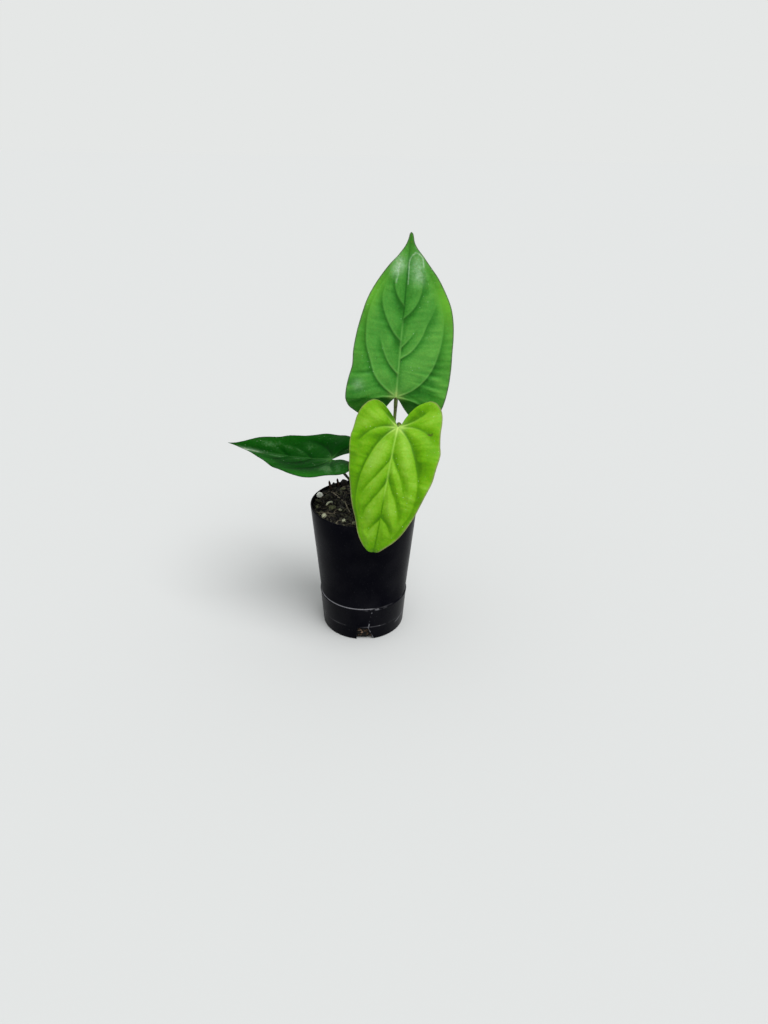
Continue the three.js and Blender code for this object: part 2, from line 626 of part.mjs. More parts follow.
// Blade: both faces carry the same grid, and a rim joins them
function makeBlade(leaf) {
  const points = [];
  const faces = [];
  const rimLoop = [];
  const midrib = [];
  for (let i = 0; i <= bladeRows; i++) {
    const w = midribLength(leaf, i / bladeRows);
    midrib.push(points.length);
    points.push(sheetPoint(leaf, leaf.halves.plus, midribShift(leaf, w), w, 0, i / bladeRows));
  }
  const last = bladeColumns.length - 1;
  for (const [side, half] of Object.entries(leaf.halves)) {
    const outline = halfOutline(leaf, half);
    const grid = [];
    for (let i = 0; i < bladeRows; i++) {
      grid.push(bladeColumns.map((reach, k) => {
        if (k === 0) return midrib[i];
        const [u, w] = outline(i / bladeRows, reach);
        points.push(sheetPoint(leaf, half, u, w, reach, i / bladeRows));
        return points.length - 1;
      }));
    }
    grid.push(bladeColumns.map(() => midrib[bladeRows]));
    const quad = (a, b, c, d) => {
      const loop = side === 'plus' ? [a, b, c, d] : [d, c, b, a];
      for (const [p, q, r] of [[loop[0], loop[1], loop[2]], [loop[0], loop[2], loop[3]]]) {
        if (p !== q && q !== r && r !== p) faces.push([p, q, r]);
      }
    };
    for (let i = 0; i < bladeRows; i++) {
      for (let k = 0; k < last; k++) quad(grid[i][k], grid[i][k + 1], grid[i + 1][k + 1], grid[i + 1][k]);
    }
    const edge = [...grid[0], ...grid.slice(1).map((row) => row[last])];
    rimLoop.push(side === 'plus' ? edge : edge.reverse());
  }
  return thicken(leaf, points, faces, midrib, [...rimLoop[1].slice(0, -1), ...rimLoop[0].slice(0, -1)]);
}

function thicken(leaf, points, faces, midrib, rim) {
  const normals = points.map(() => new THREE.Vector3());
  for (const [a, b, c] of faces) {
    const normal = points[b].clone().sub(points[a]).cross(points[c].clone().sub(points[a]));
    for (const corner of [a, b, c]) normals[corner].add(normal);
  }
  const ribAt = new Map(midrib.map((index, i) => [index, i / bladeRows]));
  const positions = [];
  const place = (index, offset) => {
    positions.push(...points[index].clone().addScaledVector(normals[index].clone().normalize(), offset));
  };
  points.forEach((_, index) => place(index, bladeThickness / 2));
  points.forEach((_, index) => {
    const along = ribAt.get(index) ?? 0;
    const rib = ribHeight * smooth((along - 0.08) / 0.06) * (1 - along) ** 0.5;
    place(index, -bladeThickness / 2 - rib);
  });
  const under = points.length;
  const triangles = [];
  for (const [a, b, c] of faces) triangles.push(a, b, c, under + a, under + c, under + b);
  for (let i = 0; i < rim.length; i++) {
    const a = rim[i];
    const b = rim[(i + 1) % rim.length];
    triangles.push(a, under + a, under + b, a, under + b, b);
  }
  return meshGeometry(positions, triangles);
}

// Leaf stalk: widens into a sheath at its foot and swells at the joint behind the blade
function makeStalk(leaf, stemCut) {
  const frame = startFrame(leaf);
  const behind = bladeThickness / 2 + fitGap + 1.55;
  const end = frame.point.clone().addScaledVector(frame.face, -behind).addScaledVector(frame.along, 0.4);
  const path = curveThrough([...leaf.stalk, [...end]]);
  const radiusAt = (s) => {
    const sheath = 0.9 * (1 - smooth(s / 0.22));
    const knuckle = 0.25 * smooth((s - 0.9) / 0.04);
    const rounding = 1 - 0.45 * smooth((s - 0.985) / 0.015);
    return (leaf.stalkRadius + sheath + knuckle) * rounding;
  };
  const body = toSolid(stalk(path, radiusAt, 28, 8)).subtract(stemCut);
  const pieces = body.decompose().sort((a, b) => b.volume() - a.volume());
  return toGeometry(pieces[0]);
}

// Dry sheath leaf that wrapped the newest leaf: a curved lance-shaped sheet round the back of the stem
const cataphyll = {
  height: 34, foot: 109, heading: 100, halfAngle: 38, radius: 5.1, flare: 3.2, thickness: 0.7,
};

function makeCataphyll() {
  const rows = 12;
  const columns = 8;
  const positions = [];
  const triangles = [];
  for (const offset of [cataphyll.thickness, 0]) {
    for (let i = 0; i <= rows; i++) {
      const s = i / rows;
      const spread = cataphyll.halfAngle * (1 - s ** 2.2) + 2;
      const radius = cataphyll.radius + cataphyll.flare * s ** 1.6 + offset;
      for (let k = 0; k <= columns; k++) {
        const angle = THREE.MathUtils.degToRad(cataphyll.heading + spread * ((2 * k) / columns - 1));
        const height = cataphyll.foot + cataphyll.height * s;
        positions.push(radius * Math.cos(angle), radius * Math.sin(angle), height);
      }
    }
  }
  const corner = (layer, i, k) => layer * (rows + 1) * (columns + 1) + i * (columns + 1) + k;
  const quad = (a, b, c, d) => triangles.push(a, b, c, a, c, d);
  for (let i = 0; i < rows; i++) {
    for (let k = 0; k < columns; k++) {
      quad(corner(0, i, k), corner(0, i, k + 1), corner(0, i + 1, k + 1), corner(0, i + 1, k));
      quad(corner(1, i, k), corner(1, i + 1, k), corner(1, i + 1, k + 1), corner(1, i, k + 1));
    }
    quad(corner(0, i, 0), corner(0, i + 1, 0), corner(1, i + 1, 0), corner(1, i, 0));
    quad(corner(0, i, columns), corner(1, i, columns), corner(1, i + 1, columns), corner(0, i + 1, columns));
  }
  for (let k = 0; k < columns; k++) {
    quad(corner(0, 0, k), corner(1, 0, k), corner(1, 0, k + 1), corner(0, 0, k + 1));
    quad(corner(0, rows, k), corner(0, rows, k + 1), corner(1, rows, k + 1), corner(1, rows, k));
  }
  return meshGeometry(positions, triangles);
}

addPiece('pot', makePot(), black);
addPiece('potting_mix', makeMix(), darkMix);
addPiece('stem', makeStem(0), stemGreen);
addPiece('cataphyll', makeCataphyll(), drySheath);

const stemCut = toSolid(makeStem(fitGap));
for (const leaf of [uprightLeaf, frontLeaf, sideLeaf]) {
  addPiece(`stalk_${leaf.name}`, makeStalk(leaf, stemCut), stalkGreen);
  addPiece(`blade_${leaf.name}`, makeBlade(leaf), leaf.finish);
}

for (const bit of bits) {
  const finish = bit.name.startsWith('perlite') ? perliteWhite : barkTan;
  addPiece(bit.name, lieBit(bit, 0), finish);
}
for (const splinter of splinters) addPiece(splinter.name, leanSplinter(splinter, 0), barkTan);
for (const strand of strands) addPiece(strand.name, layStrand(strand, 0), rootBrown);

export default plant;
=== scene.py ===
# A young anthurium with three heart-shaped leaves, potted in a black nursery tube pot.
import math

import bpy
import numpy as np
from mathutils import Matrix


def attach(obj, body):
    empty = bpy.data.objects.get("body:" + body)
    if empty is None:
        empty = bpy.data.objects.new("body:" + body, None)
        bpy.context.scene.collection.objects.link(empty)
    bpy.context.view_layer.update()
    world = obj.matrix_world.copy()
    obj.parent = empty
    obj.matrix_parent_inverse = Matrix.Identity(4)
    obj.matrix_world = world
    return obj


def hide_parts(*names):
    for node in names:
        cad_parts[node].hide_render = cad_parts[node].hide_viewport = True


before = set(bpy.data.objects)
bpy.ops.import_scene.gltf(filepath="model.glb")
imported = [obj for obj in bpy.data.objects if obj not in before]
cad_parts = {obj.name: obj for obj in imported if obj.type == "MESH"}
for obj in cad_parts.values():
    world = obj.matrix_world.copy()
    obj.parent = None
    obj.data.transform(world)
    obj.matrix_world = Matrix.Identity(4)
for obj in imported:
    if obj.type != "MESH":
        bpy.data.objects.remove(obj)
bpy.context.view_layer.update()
MM = 0.001


# Tube pot
# Injection-moulded black polypropylene with a satin skin. Two tapers of one thin wall meet in a
# small ledge, the rim is rounded over, and the mould leaves four drain notches in the foot.
POT_HEIGHT = 110.8
RIM_RADIUS = 42.5
WAIST_RADIUS = 35.7
LEDGE_RADIUS = 36.5
LEDGE_HEIGHT = 31.3
FOOT_RADIUS = 34.35
FOOT_CORNER = 1.0
POT_FLOOR = 1.6
WALL = 1.2
POT_SIDES = 160
NOTCH_FOOT_WIDTH = 13.9
NOTCH_TOP_WIDTH = 9.4
NOTCH_HEIGHT = 12.0
NOTCH_ANGLES = (-88.3, 1.7, 91.7, 181.7)


def linear(hex_colour):
    """A hex sRGB colour as linear light, with alpha."""
    parts = [int(hex_colour[i:i + 2], 16) / 255 for i in (1, 3, 5)]
    return tuple(c / 12.92 if c <= 0.04045 else ((c + 0.055) / 1.055) ** 2.4 for c in parts) + (1.0,)


def add(tree, kind, feeds=None, **settings):
    """One node with its settings. feeds gives each input a value, or the node or socket that feeds it."""
    node = tree.nodes.new(kind)
    for key, value in settings.items():
        setattr(node, key, value)
    for key, value in (feeds or {}).items():
        if isinstance(key, str):
            socket = next(s for s in node.inputs if s.enabled and s.name == key)
        else:
            socket = node.inputs[key]
        if isinstance(value, bpy.types.Node):
            value = next(s for s in value.outputs if s.enabled)
        if isinstance(value, bpy.types.NodeSocket):
            tree.links.new(value, socket)
        else:
            socket.default_value = value
    return node


def new_material(name):
    """An empty node material, its tree, and the place of each point of the piece in metres."""
    material = bpy.data.materials.new(name)
    material.use_nodes = True
    tree = material.node_tree
    tree.nodes.clear()
    return material, tree, add(tree, "ShaderNodeTexCoord").outputs["Object"]


def marks_a_metre(size):
    """A pattern's scale, from the millimetres that one of its marks takes up."""
    return 1 / (size * MM)


def finish_material(tree, surface, height=None, strength=1.0, depth=0.0):
    """Ends a material: the shader with its sockets, and bumps that are depth millimetres deep."""
    shader = add(tree, "ShaderNodeBsdfPrincipled", surface)
    if height is not None:
        bump = add(tree, "ShaderNodeBump", {"Height": height, "Strength": strength, "Distance": depth * MM})
        tree.links.new(bump.outputs["Normal"], shader.inputs["Normal"])
    add(tree, "ShaderNodeOutputMaterial", {"Surface": shader})


def new_mesh(name, points, edges=(), faces=()):
    """A mesh in metres from points in millimetres."""
    mesh = bpy.data.meshes.new(name)
    mesh.from_pydata([tuple(p) for p in np.asarray(points) * MM], edges, faces)
    return mesh


def placed(name, data):
    """An object for a mesh, camera or light, linked to the scene and left at the origin."""
    thing = bpy.data.objects.new(name, data)
    bpy.context.scene.collection.objects.link(thing)
    return thing


def made_plain(piece):
    """Takes what a piece's modifiers make of it as its own mesh, and removes them."""
    bpy.context.view_layer.update()
    plain = bpy.data.meshes.new_from_object(piece.evaluated_get(bpy.context.evaluated_depsgraph_get()))
    piece.modifiers.clear()
    piece.data = plain
    return plain


def settle(piece, replaced=()):
    """Says what a finished piece rides on and which solids it stands for."""
    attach(piece, "root")
    if replaced:
        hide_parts(*replaced)


def new_piece(name, points, faces, material, replaced):
    """A smooth piece made of points in millimetres, riding on the object's one body."""
    mesh = new_mesh(name, points, [], faces)
    mesh.validate()
    mesh.materials.append(material)
    mesh.shade_smooth()
    piece = placed(name, mesh)
    settle(piece, replaced)
    return piece


def ring(radius, height, sides, centre=(0, 0)):
    """Points round an upright axis. radius and height hold for all of them."""
    angles = np.arange(sides) * 2 * math.pi / sides
    return np.stack([centre[0] + radius * np.cos(angles), centre[1] + radius * np.sin(angles),
                     np.full(sides, height)], 1)


def ring_faces(rings, sides):
    """Faces that join each ring of points to the next, facing out where the rings rise."""
    faces = []
    for i in range(rings - 1):
        for k in range(sides):
            n = (k + 1) % sides
            faces.append((i * sides + k, i * sides + n, (i + 1) * sides + n, (i + 1) * sides + k))
    return faces


def end_faces(rings, sides):
    """Faces that close the first ring from below and the last one from above."""
    last = (rings - 1) * sides
    return [tuple(reversed(range(sides))), tuple(range(last, last + sides))]


def pot_profile():
    """The wall from the middle of the underside, out, up, over the rim and back down to the floor."""
    lip = WALL / 2
    ledge_top = LEDGE_HEIGHT + 0.6
    hub, middle = 0.01, 20
    inner_foot = FOOT_RADIUS - FOOT_CORNER
    points = [(hub, 0.0), (middle, 0.0), (inner_foot, 0.0)]
    points += [(inner_foot + FOOT_CORNER * math.sin(a), FOOT_CORNER * (1 - math.cos(a)))
               for a in np.radians((30, 60, 90))]
    points += [(LEDGE_RADIUS - 0.25, LEDGE_HEIGHT - 1.2), (LEDGE_RADIUS, LEDGE_HEIGHT - 0.5),
               (LEDGE_RADIUS - 0.1, LEDGE_HEIGHT - 0.1), (LEDGE_RADIUS - 0.35, LEDGE_HEIGHT + 0.12),
               (WAIST_RADIUS + 0.12, LEDGE_HEIGHT + 0.25), (WAIST_RADIUS, ledge_top)]
    points += [(WAIST_RADIUS + 1.7 * k, ledge_top + 19.5 * k) for k in (1, 2, 3)]
    points += [(RIM_RADIUS - lip + lip * math.cos(a), POT_HEIGHT - lip + lip * math.sin(a))
               for a in np.radians(range(0, 181, 20))]
    points += [(WAIST_RADIUS - WALL, ledge_top), (LEDGE_RADIUS - WALL, LEDGE_HEIGHT - 0.6),
               (FOOT_RADIUS - WALL, POT_FLOOR), (middle, POT_FLOOR), (hub, POT_FLOOR)]
    return points


def moulded_polypropylene():
    """Black polypropylene: pigment through and through, and a satin skin from the polished mould. Hard
    water has dried on it as a tide line on the ledge and a beaded trickle. A fainter pale line below is
    partly dried water and partly a painted sheen near the foot."""
    material, tree, place = new_material("moulded_black_polypropylene")
    axes = add(tree, "ShaderNodeSeparateXYZ", {"Vector": place}).outputs

    def stripe(value, centre, half_width):
        """One on the line where value is centre, none at half_width from it, both in millimetres."""
        off = add(tree, "ShaderNodeMath", {0: value, 1: centre * MM}, operation="SUBTRACT")
        size = add(tree, "ShaderNodeMath", {0: off}, operation="ABSOLUTE")
        return add(tree, "ShaderNodeMapRange", {
            "Value": size, "From Max": half_width * MM, "To Min": 1.0, "To Max": 0.0})

    def patches(size, low, high):
        """Cloudy patches about that many millimetres across, none below low and full above high."""
        noise = add(tree, "ShaderNodeTexNoise", {
            "Vector": place, "Scale": marks_a_metre(size), "Detail": 3.0})
        return add(tree, "ShaderNodeMapRange", {"Value": noise, "From Min": low, "From Max": high})

    def only(axis, none_at, full_at):
        """Fades a mark out along one axis, from full_at to none_at in millimetres."""
        return add(tree, "ShaderNodeMapRange", {
            "Value": axes[axis], "From Min": none_at * MM, "From Max": full_at * MM})

    trickle, notch_edge, graze = (
        add(tree, "ShaderNodeMath", {0: axes["Z"], 1: lean, 2: axes["X"]}, operation="MULTIPLY_ADD")
        for lean in (-0.178, 0.375, -1.87))
    front = only("Y", 0, -12)
    # In this order: the tide line on the ledge, the smudge at its end, a faint line all round the ledge and
    # one lower down that is partly a painted sheen, the trickle, a graze, a smear beside it, the notch's
    # edge, specks and a haze
    marks = (
        (0.5, (stripe(axes["Z"], LEDGE_HEIGHT + 0.35, 0.36), patches(5.882, 0.25, 0.5), only("X", 10, 4),
               front)),
        (0.4, (stripe(axes["Z"], LEDGE_HEIGHT - 0.6, 1.4), patches(3.333, 0.46, 0.6),
               stripe(axes["X"], 9, 11), front)),
        (0.06, (stripe(axes["Z"], LEDGE_HEIGHT + 0.3, 0.5), patches(8.333, 0.4, 0.6))),
        # A faint pale line all round, low down: partly dried water, partly a painted sheen near the foot
        (0.12, (stripe(axes["Z"], 13, 0.7), patches(14.29, 0.48, 0.62))),
        (0.55, (stripe(trickle, 1.6, 0.5), patches(2.381, 0.53, 0.58), only("Z", 30, 28), only("Z", 12, 14),
                front)),
        (0.5, (stripe(graze, 8.9, 1.1), patches(3.846, 0.3, 0.5), only("Z", 9, 10), only("Z", 14, 12.6),
               front)),
        (0.3, (stripe(axes["Z"], 12.9, 0.6), patches(4.545, 0.4, 0.55), stripe(axes["X"], 12, 7), front)),
        (0.4, (stripe(notch_edge, 8.3, 0.5), patches(2.5, 0.35, 0.5), only("Z", 14, 12), front)),
        (0.05, (patches(0.7692, 0.66, 0.74),)),
        (0.008, (patches(22.22, 0.4, 0.7),)),
    )
    deposit_and_painted_sheen = 0.0
    for strength, factors in marks:
        for factor in factors:
            strength = add(tree, "ShaderNodeMath", {0: factor, 1: strength}, operation="MULTIPLY")
        deposit_and_painted_sheen = add(tree, "ShaderNodeMath", {0: strength, 1: deposit_and_painted_sheen}, operation="ADD", use_clamp=True)

    colour = add(tree, "ShaderNodeMix", {"Factor": deposit_and_painted_sheen, "A": linear("#030309"), "B": linear("#b4b3ba")},
                 data_type="RGBA")
    worn = add(tree, "ShaderNodeMath", {0: patches(16.67, 0.3, 0.7), 1: 0.3, 2: deposit_and_painted_sheen},
               operation="MULTIPLY_ADD")
    roughness = add(tree, "ShaderNodeMapRange", {"Value": worn, "To Min": 0.24, "To Max": 0.55})
    # The grain of the skin is finer in life, and is drawn coarse enough to show
    grain = add(tree, "ShaderNodeTexNoise", {
        "Vector": place, "Scale": marks_a_metre(1.429), "Detail": 2.0})
    finish_material(tree, {"Base Color": colour, "Roughness": roughness, "Specular IOR Level": 0.025},
                    height=grain, strength=0.1, depth=0.2)
    return material


def notch_cutter(angle):
    """A block across the wall at the foot: one side upright, one sloping out, its top corners rounded."""
    left, right, top = -NOTCH_FOOT_WIDTH / 2, NOTCH_TOP_WIDTH - NOTCH_FOOT_WIDTH / 2, NOTCH_HEIGHT
    corner, below, inward, outward = 1.0, 1.0, 5.5, 4
    slope = (NOTCH_FOOT_WIDTH - NOTCH_TOP_WIDTH) / NOTCH_HEIGHT
    outline = [(left, -below), (right + slope * (top + below), -below),
               (right + slope * corner, top - corner), (right, top - 0.35 * corner),
               (right - corner, top), (left + corner, top), (left + 0.3 * corner, top - 0.3 * corner),
               (left, top - corner)]
    count = len(outline)
    points = [(depth, y, z) for depth in (FOOT_RADIUS - inward, FOOT_RADIUS + outward) for y, z in outline]
    faces = [((k + 1) % count, (k + 1) % count + count, k + count, k) for k in range(count)]
    faces += [tuple(reversed(range(count))), tuple(range(count, 2 * count))]
    mesh = new_mesh("notch_cutter", points, [], faces)
    mesh.transform(Matrix.Rotation(math.radians(angle), 4, "Z"))
    return placed("notch_cutter", mesh)


def make_pot():
    """The pot with its notches cut and its edges kept crisp."""
    rings = [ring(r, z, POT_SIDES) for r, z in pot_profile()]
    faces = ring_faces(len(rings), POT_SIDES) + end_faces(len(rings), POT_SIDES)
    pot = new_piece("tube_pot", np.vstack(rings), faces, moulded_polypropylene(), ["pot"])
    cutters = [notch_cutter(angle) for angle in NOTCH_ANGLES]
    for cutter in cutters:
        cut = pot.modifiers.new("notch", "BOOLEAN")
        cut.object = cutter
        cut.solver = "EXACT"
    cut_mesh = made_plain(pot)
    for cutter in cutters:
        bpy.data.objects.remove(cutter)
    cut_mesh.set_sharp_from_angle(angle=math.radians(38))


make_pot()


# Potting mix
# Crumbled orchid bark, coir and a little perlite, dark because it is damp. A lumpy bed fills the
# pot, and loose bark, crumbs and coir shreds lie all over it and show in the drain notches.
MIX_LEVEL = 106.6
MIX_RADIUS = 40.7


def mix_height(x, y):
    """Height of the bed: level, a low heap at the back left, and lumps, as in the solid."""
    heap_x, heap_y, heap_height, heap_spread = -24, 20, 2.3, 15.0
    heap = heap_height * np.exp(-((x - heap_x) ** 2 + (y - heap_y) ** 2) / (2 * heap_spread ** 2))
    coarse = 0.8 * np.sin(0.46 * x + 0.8) * np.sin(0.5 * y + 0.3)
    fine = 0.6 * np.sin(0.85 * x - 0.5 * y + 1.1) * np.sin(0.75 * y + 0.35 * x)
    return MIX_LEVEL + heap + coarse + fine


def lattice_noise(points, cell, seed):
    """Smooth noise from -1 to 1 at each point, with lumps about one cell across."""
    draws = np.random.default_rng(seed).uniform(-1, 1, (32, 32, 32))
    scaled = np.asarray(points, float) / cell
    low = np.floor(scaled).astype(int)
    part = scaled - low
    part = part * part * (3 - 2 * part)
    total = 0
    for corner in range(8):
        step = np.array([corner & 1, (corner >> 1) & 1, (corner >> 2) & 1])
        weight = np.prod(np.where(step, part, 1 - part), axis=-1)
        spot = (low + step) % 32
        total = total + weight * draws[spot[..., 0], spot[..., 1], spot[..., 2]]
    return total


def grain_material(name, tones, roughness, grain, depth):
    """Crumbled plant matter: each bit draws its own tone, and a grain roughens it, so wide and so deep in
    millimetres. The grain is finer in life, and is drawn coarse enough to show."""
    material, tree, place = new_material(name)
    tone = add(tree, "ShaderNodeAttribute", attribute_name="tone").outputs["Fac"]
    ramp = add(tree, "ShaderNodeValToRGB", {"Fac": tone})
    ramp.color_ramp.elements[0].color = linear(tones[0])
    ramp.color_ramp.elements[1].color = linear(tones[-1])
    for i, shade in enumerate(tones[1:-1], 1):
        ramp.color_ramp.elements.new(i / (len(tones) - 1)).color = linear(shade)
    noise = add(tree, "ShaderNodeTexNoise", {
        "Vector": place, "Scale": marks_a_metre(grain), "Detail": 4.0, "Roughness": 0.6})
    shade = add(tree, "ShaderNodeMapRange", {
        "Value": noise, "From Min": 0.3, "From Max": 0.7, "To Min": 0.4, "To Max": 1.4})
    colour = add(tree, "ShaderNodeVectorMath", {0: ramp, 1: shade}, operation="MULTIPLY")
    finish_material(tree, {"Base Color": colour, "Roughness": roughness, "Specular IOR Level": 0.25},
                    height=noise, strength=0.7, depth=depth)
    return material


# Damp bark is nearly black, with a few flakes weathered to an olive grey
damp_bark = grain_material("damp_orchid_bark", ["#030203", "#070505", "#0d0a09", "#181411", "#4a4a38"],
                           0.7, 1.111, 0.4)
damp_crumb = grain_material("damp_coir_crumb", ["#020202", "#050404", "#0a0808", "#15110f", "#514f40"],
                            0.8, 0.7143, 0.3)
# Coir and dry roots are brown, and straw-coloured where they have dried through
coir_fibre = grain_material("coir_fibre", ["#0e0a07", "#1e1711", "#3d3427", "#6e6553", "#978c78"],
                            0.7, 0.8333, 0.2)
brown_crumb = grain_material("dry_coir_crumb", ["#0a0604", "#1c120b", "#2c1e13", "#4a3624", "#8a7262"],
                             0.85, 0.7143, 0.3)


def make_bed():
    """The bed of mix: a lumpy top, a crumbly side where the notches show it, and a flat foot."""
    sectors, rings, foot_height = 132, 44, 2.0
    side = [(FOOT_RADIUS - WALL - 0.4, foot_height), (FOOT_RADIUS - WALL - 0.3, 5.0),
            (FOOT_RADIUS - WALL - 0.2, 8.0), (FOOT_RADIUS - WALL, 12.0),
            (LEDGE_RADIUS - WALL - 0.4, LEDGE_HEIGHT - 1), (WAIST_RADIUS - WALL - 0.4, LEDGE_HEIGHT + 1),
            (MIX_RADIUS - 3.2, 70), (MIX_RADIUS - 0.4, 102)]
    rows = [ring(r, z, sectors) for r, z in side]
    for i in range(rings):
        row = ring(MIX_RADIUS * (1 - i / rings), 0.0, sectors)
        row[:, 2] = mix_height(row[:, 0], row[:, 1])
        row[:, 2] += 0.55 * lattice_noise(row, 2.4, 4) + 0.3 * lattice_noise(row, 1.1, 5)
        rows.append(row)
    points = np.vstack(rows + [[[0, 0, foot_height]], [[0, 0, float(mix_height(0, 0))]]])
    faces = ring_faces(len(rows), sectors)
    foot, crest = len(points) - 2, len(points) - 1
    last = (len(rows) - 1) * sectors
    for k in range(sectors):
        n = (k + 1) % sectors
        faces += [(foot, n, k), (crest, last + k, last + n)]
    new_piece("mix_bed", points, faces, damp_crumb, ["potting_mix"])


def tree_inputs(tree, **kinds):
    """Named inputs on a geometry tree, and its one output. The first input is the geometry."""
    tree.interface.new_socket("Geometry", in_out="INPUT", socket_type="NodeSocketGeometry")
    for name, kind in kinds.items():
        tree.interface.new_socket(name.replace("_", " "), in_out="INPUT", socket_type="NodeSocket" + kind)
    tree.interface.new_socket("Geometry", in_out="OUTPUT", socket_type="NodeSocketGeometry")
    return add(tree, "NodeGroupInput").outputs


def run_tree(name, tree, carrier_mesh, slot_name, replaced=(), **inputs):
    """Runs a geometry tree once on a carrier and keeps the result as a plain mesh piece."""
    carrier = placed(name, carrier_mesh)
    modifier = carrier.modifiers.new("tree", "NODES")
    modifier.node_group = tree
    for item in tree.interface.items_tree:
        key = item.name.replace(" ", "_")
        if item.in_out == "INPUT" and key in inputs:
            modifier[item.identifier] = inputs[key]
    made_plain(carrier)
    settle(carrier, replaced)
    return carrier


def strewing_tree():
    """Bits strewn over a surface: each is a rough lump with its own length, breadth, turn and tone."""
    tree = bpy.data.node_groups.new("Strewn bits", "GeometryNodeTree")
    given = tree_inputs(tree, Density="Float", Least="Float", Most="Float", Flatness="Float", Length="Float",
                        Raggedness="Float", Seed="Int", Facets="Int", Finish="Material")
    seed = given["Seed"]
    spots = add(tree, "GeometryNodeDistributePointsOnFaces", {
        "Mesh": given["Geometry"], "Density": given["Density"], "Seed": seed})
    lump = add(tree, "GeometryNodeMeshIcoSphere", {"Radius": 1.0, "Subdivisions": given["Facets"]})
    size = add(tree, "FunctionNodeRandomValue", {"Min": given["Least"], "Max": given["Most"], "Seed": seed})
    shape = add(tree, "ShaderNodeCombineXYZ", {"X": given["Length"], "Y": 1.0, "Z": given["Flatness"]})
    odd = add(tree, "FunctionNodeRandomValue", {
        "Min": (0.5, 0.5, 0.6), "Max": (1.5, 1.3, 1.4), "Seed": seed,
        "ID": add(tree, "GeometryNodeInputIndex")}, data_type="FLOAT_VECTOR")
    shape = add(tree, "ShaderNodeVectorMath", {0: shape, 1: odd}, operation="MULTIPLY")
    scale = add(tree, "ShaderNodeVectorMath", {0: shape, "Scale": size}, operation="SCALE")
    turn = add(tree, "FunctionNodeRandomValue", {
        "Min": (-0.8, -0.8, -3.14), "Max": (0.8, 0.8, 3.14), "Seed": seed}, data_type="FLOAT_VECTOR")
    strewn = add(tree, "GeometryNodeInstanceOnPoints", {
        "Points": spots, "Instance": lump, "Rotation": turn, "Scale": scale})
    tone = add(tree, "FunctionNodeRandomValue", {"Min": 0.0, "Max": 1.0, "Seed": seed})
    kept = add(tree, "GeometryNodeStoreNamedAttribute", {"Geometry": strewn, "Name": "tone", "Value": tone},
               data_type="FLOAT", domain="INSTANCE")
    real = add(tree, "GeometryNodeRealizeInstances", {"Geometry": kept})
    ragged = ragged_offset(tree, 520.0, given["Raggedness"])
    moved = add(tree, "GeometryNodeSetPosition", {"Geometry": real, "Offset": ragged})
    flat = add(tree, "GeometryNodeSetShadeSmooth", {"Geometry": moved, "Shade Smooth": False})
    done = add(tree, "GeometryNodeSetMaterial", {"Geometry": flat, "Material": given["Finish"]})
    add(tree, "NodeGroupOutput", {"Geometry": done})
    return tree


def ragged_offset(tree, scale, amount):
    """A noise that moves each point a little to any side. The scale is in lumps a metre."""
    where = add(tree, "GeometryNodeInputPosition")
    noise = add(tree, "ShaderNodeTexNoise", {"Vector": where, "Scale": scale, "Detail": 2.0}).outputs["Color"]
    centred = add(tree, "ShaderNodeVectorMath", {0: noise, 1: (0.5, 0.5, 0.5)}, operation="SUBTRACT")
    return add(tree, "ShaderNodeVectorMath", {0: centred, "Scale": amount}, operation="SCALE")


def disc_carrier(name, radius, lift):
    """The bed's top as a carrier for strewn bits, kept off the wall and raised a little."""
    sectors, rings, hub = 60, 16, 0.02
    rows = [ring(radius * max(i / rings, hub), 0.0, sectors) for i in range(rings + 1)]
    for row in rows:
        row[:, 2] = mix_height(row[:, 0], row[:, 1]) + lift
    faces = [(a, d, c, b) for a, b, c, d in ring_faces(len(rows), sectors)]
    return new_mesh(name, np.vstack(rows), [], faces)


def notch_carrier(name):
    """Upright patches just inside each drain notch, where the mix shows."""
    columns, low, high = 7, 2.6, NOTCH_HEIGHT + 0.5
    radius = FOOT_RADIUS - WALL - 0.8
    spread = math.degrees(NOTCH_FOOT_WIDTH / 2 / FOOT_RADIUS) - 1
    points, faces = [], []
    for angle in NOTCH_ANGLES:
        start = len(points)
        for z in (low, high):
            for turn in np.radians(np.linspace(angle - spread, angle + spread, columns)):
                points.append((radius * math.cos(turn), radius * math.sin(turn), z))
        faces += [(k, k + 1, k + columns + 1, k + columns) for k in range(start, start + columns - 1)]
    return new_mesh(name, points, [], faces)


make_bed()
strewing = strewing_tree()
# Density is in bits a square metre, and sizes are in metres
run_tree("mix_bark", strewing, disc_carrier("mix_bark", 38.0, 0.0), "mix", Density=90000.0, Least=0.0008,
         Most=0.0022, Flatness=0.4, Length=1.6, Raggedness=0.0022, Seed=3, Facets=2, Finish=damp_bark)
run_tree("mix_crumbs", strewing, disc_carrier("mix_crumbs", 39.4, 0.4), "mix", Density=650000.0, Least=0.0002,
         Most=0.0008, Flatness=0.6, Length=1.5, Raggedness=0.0008, Seed=7, Facets=1, Finish=damp_crumb)
run_tree("notch_crumbs", strewing, notch_carrier("notch_crumbs"), "mix", Density=520000.0, Least=0.0004,
         Most=0.0011, Flatness=0.8, Length=1.2, Raggedness=0.001, Seed=9, Facets=2, Finish=brown_crumb)


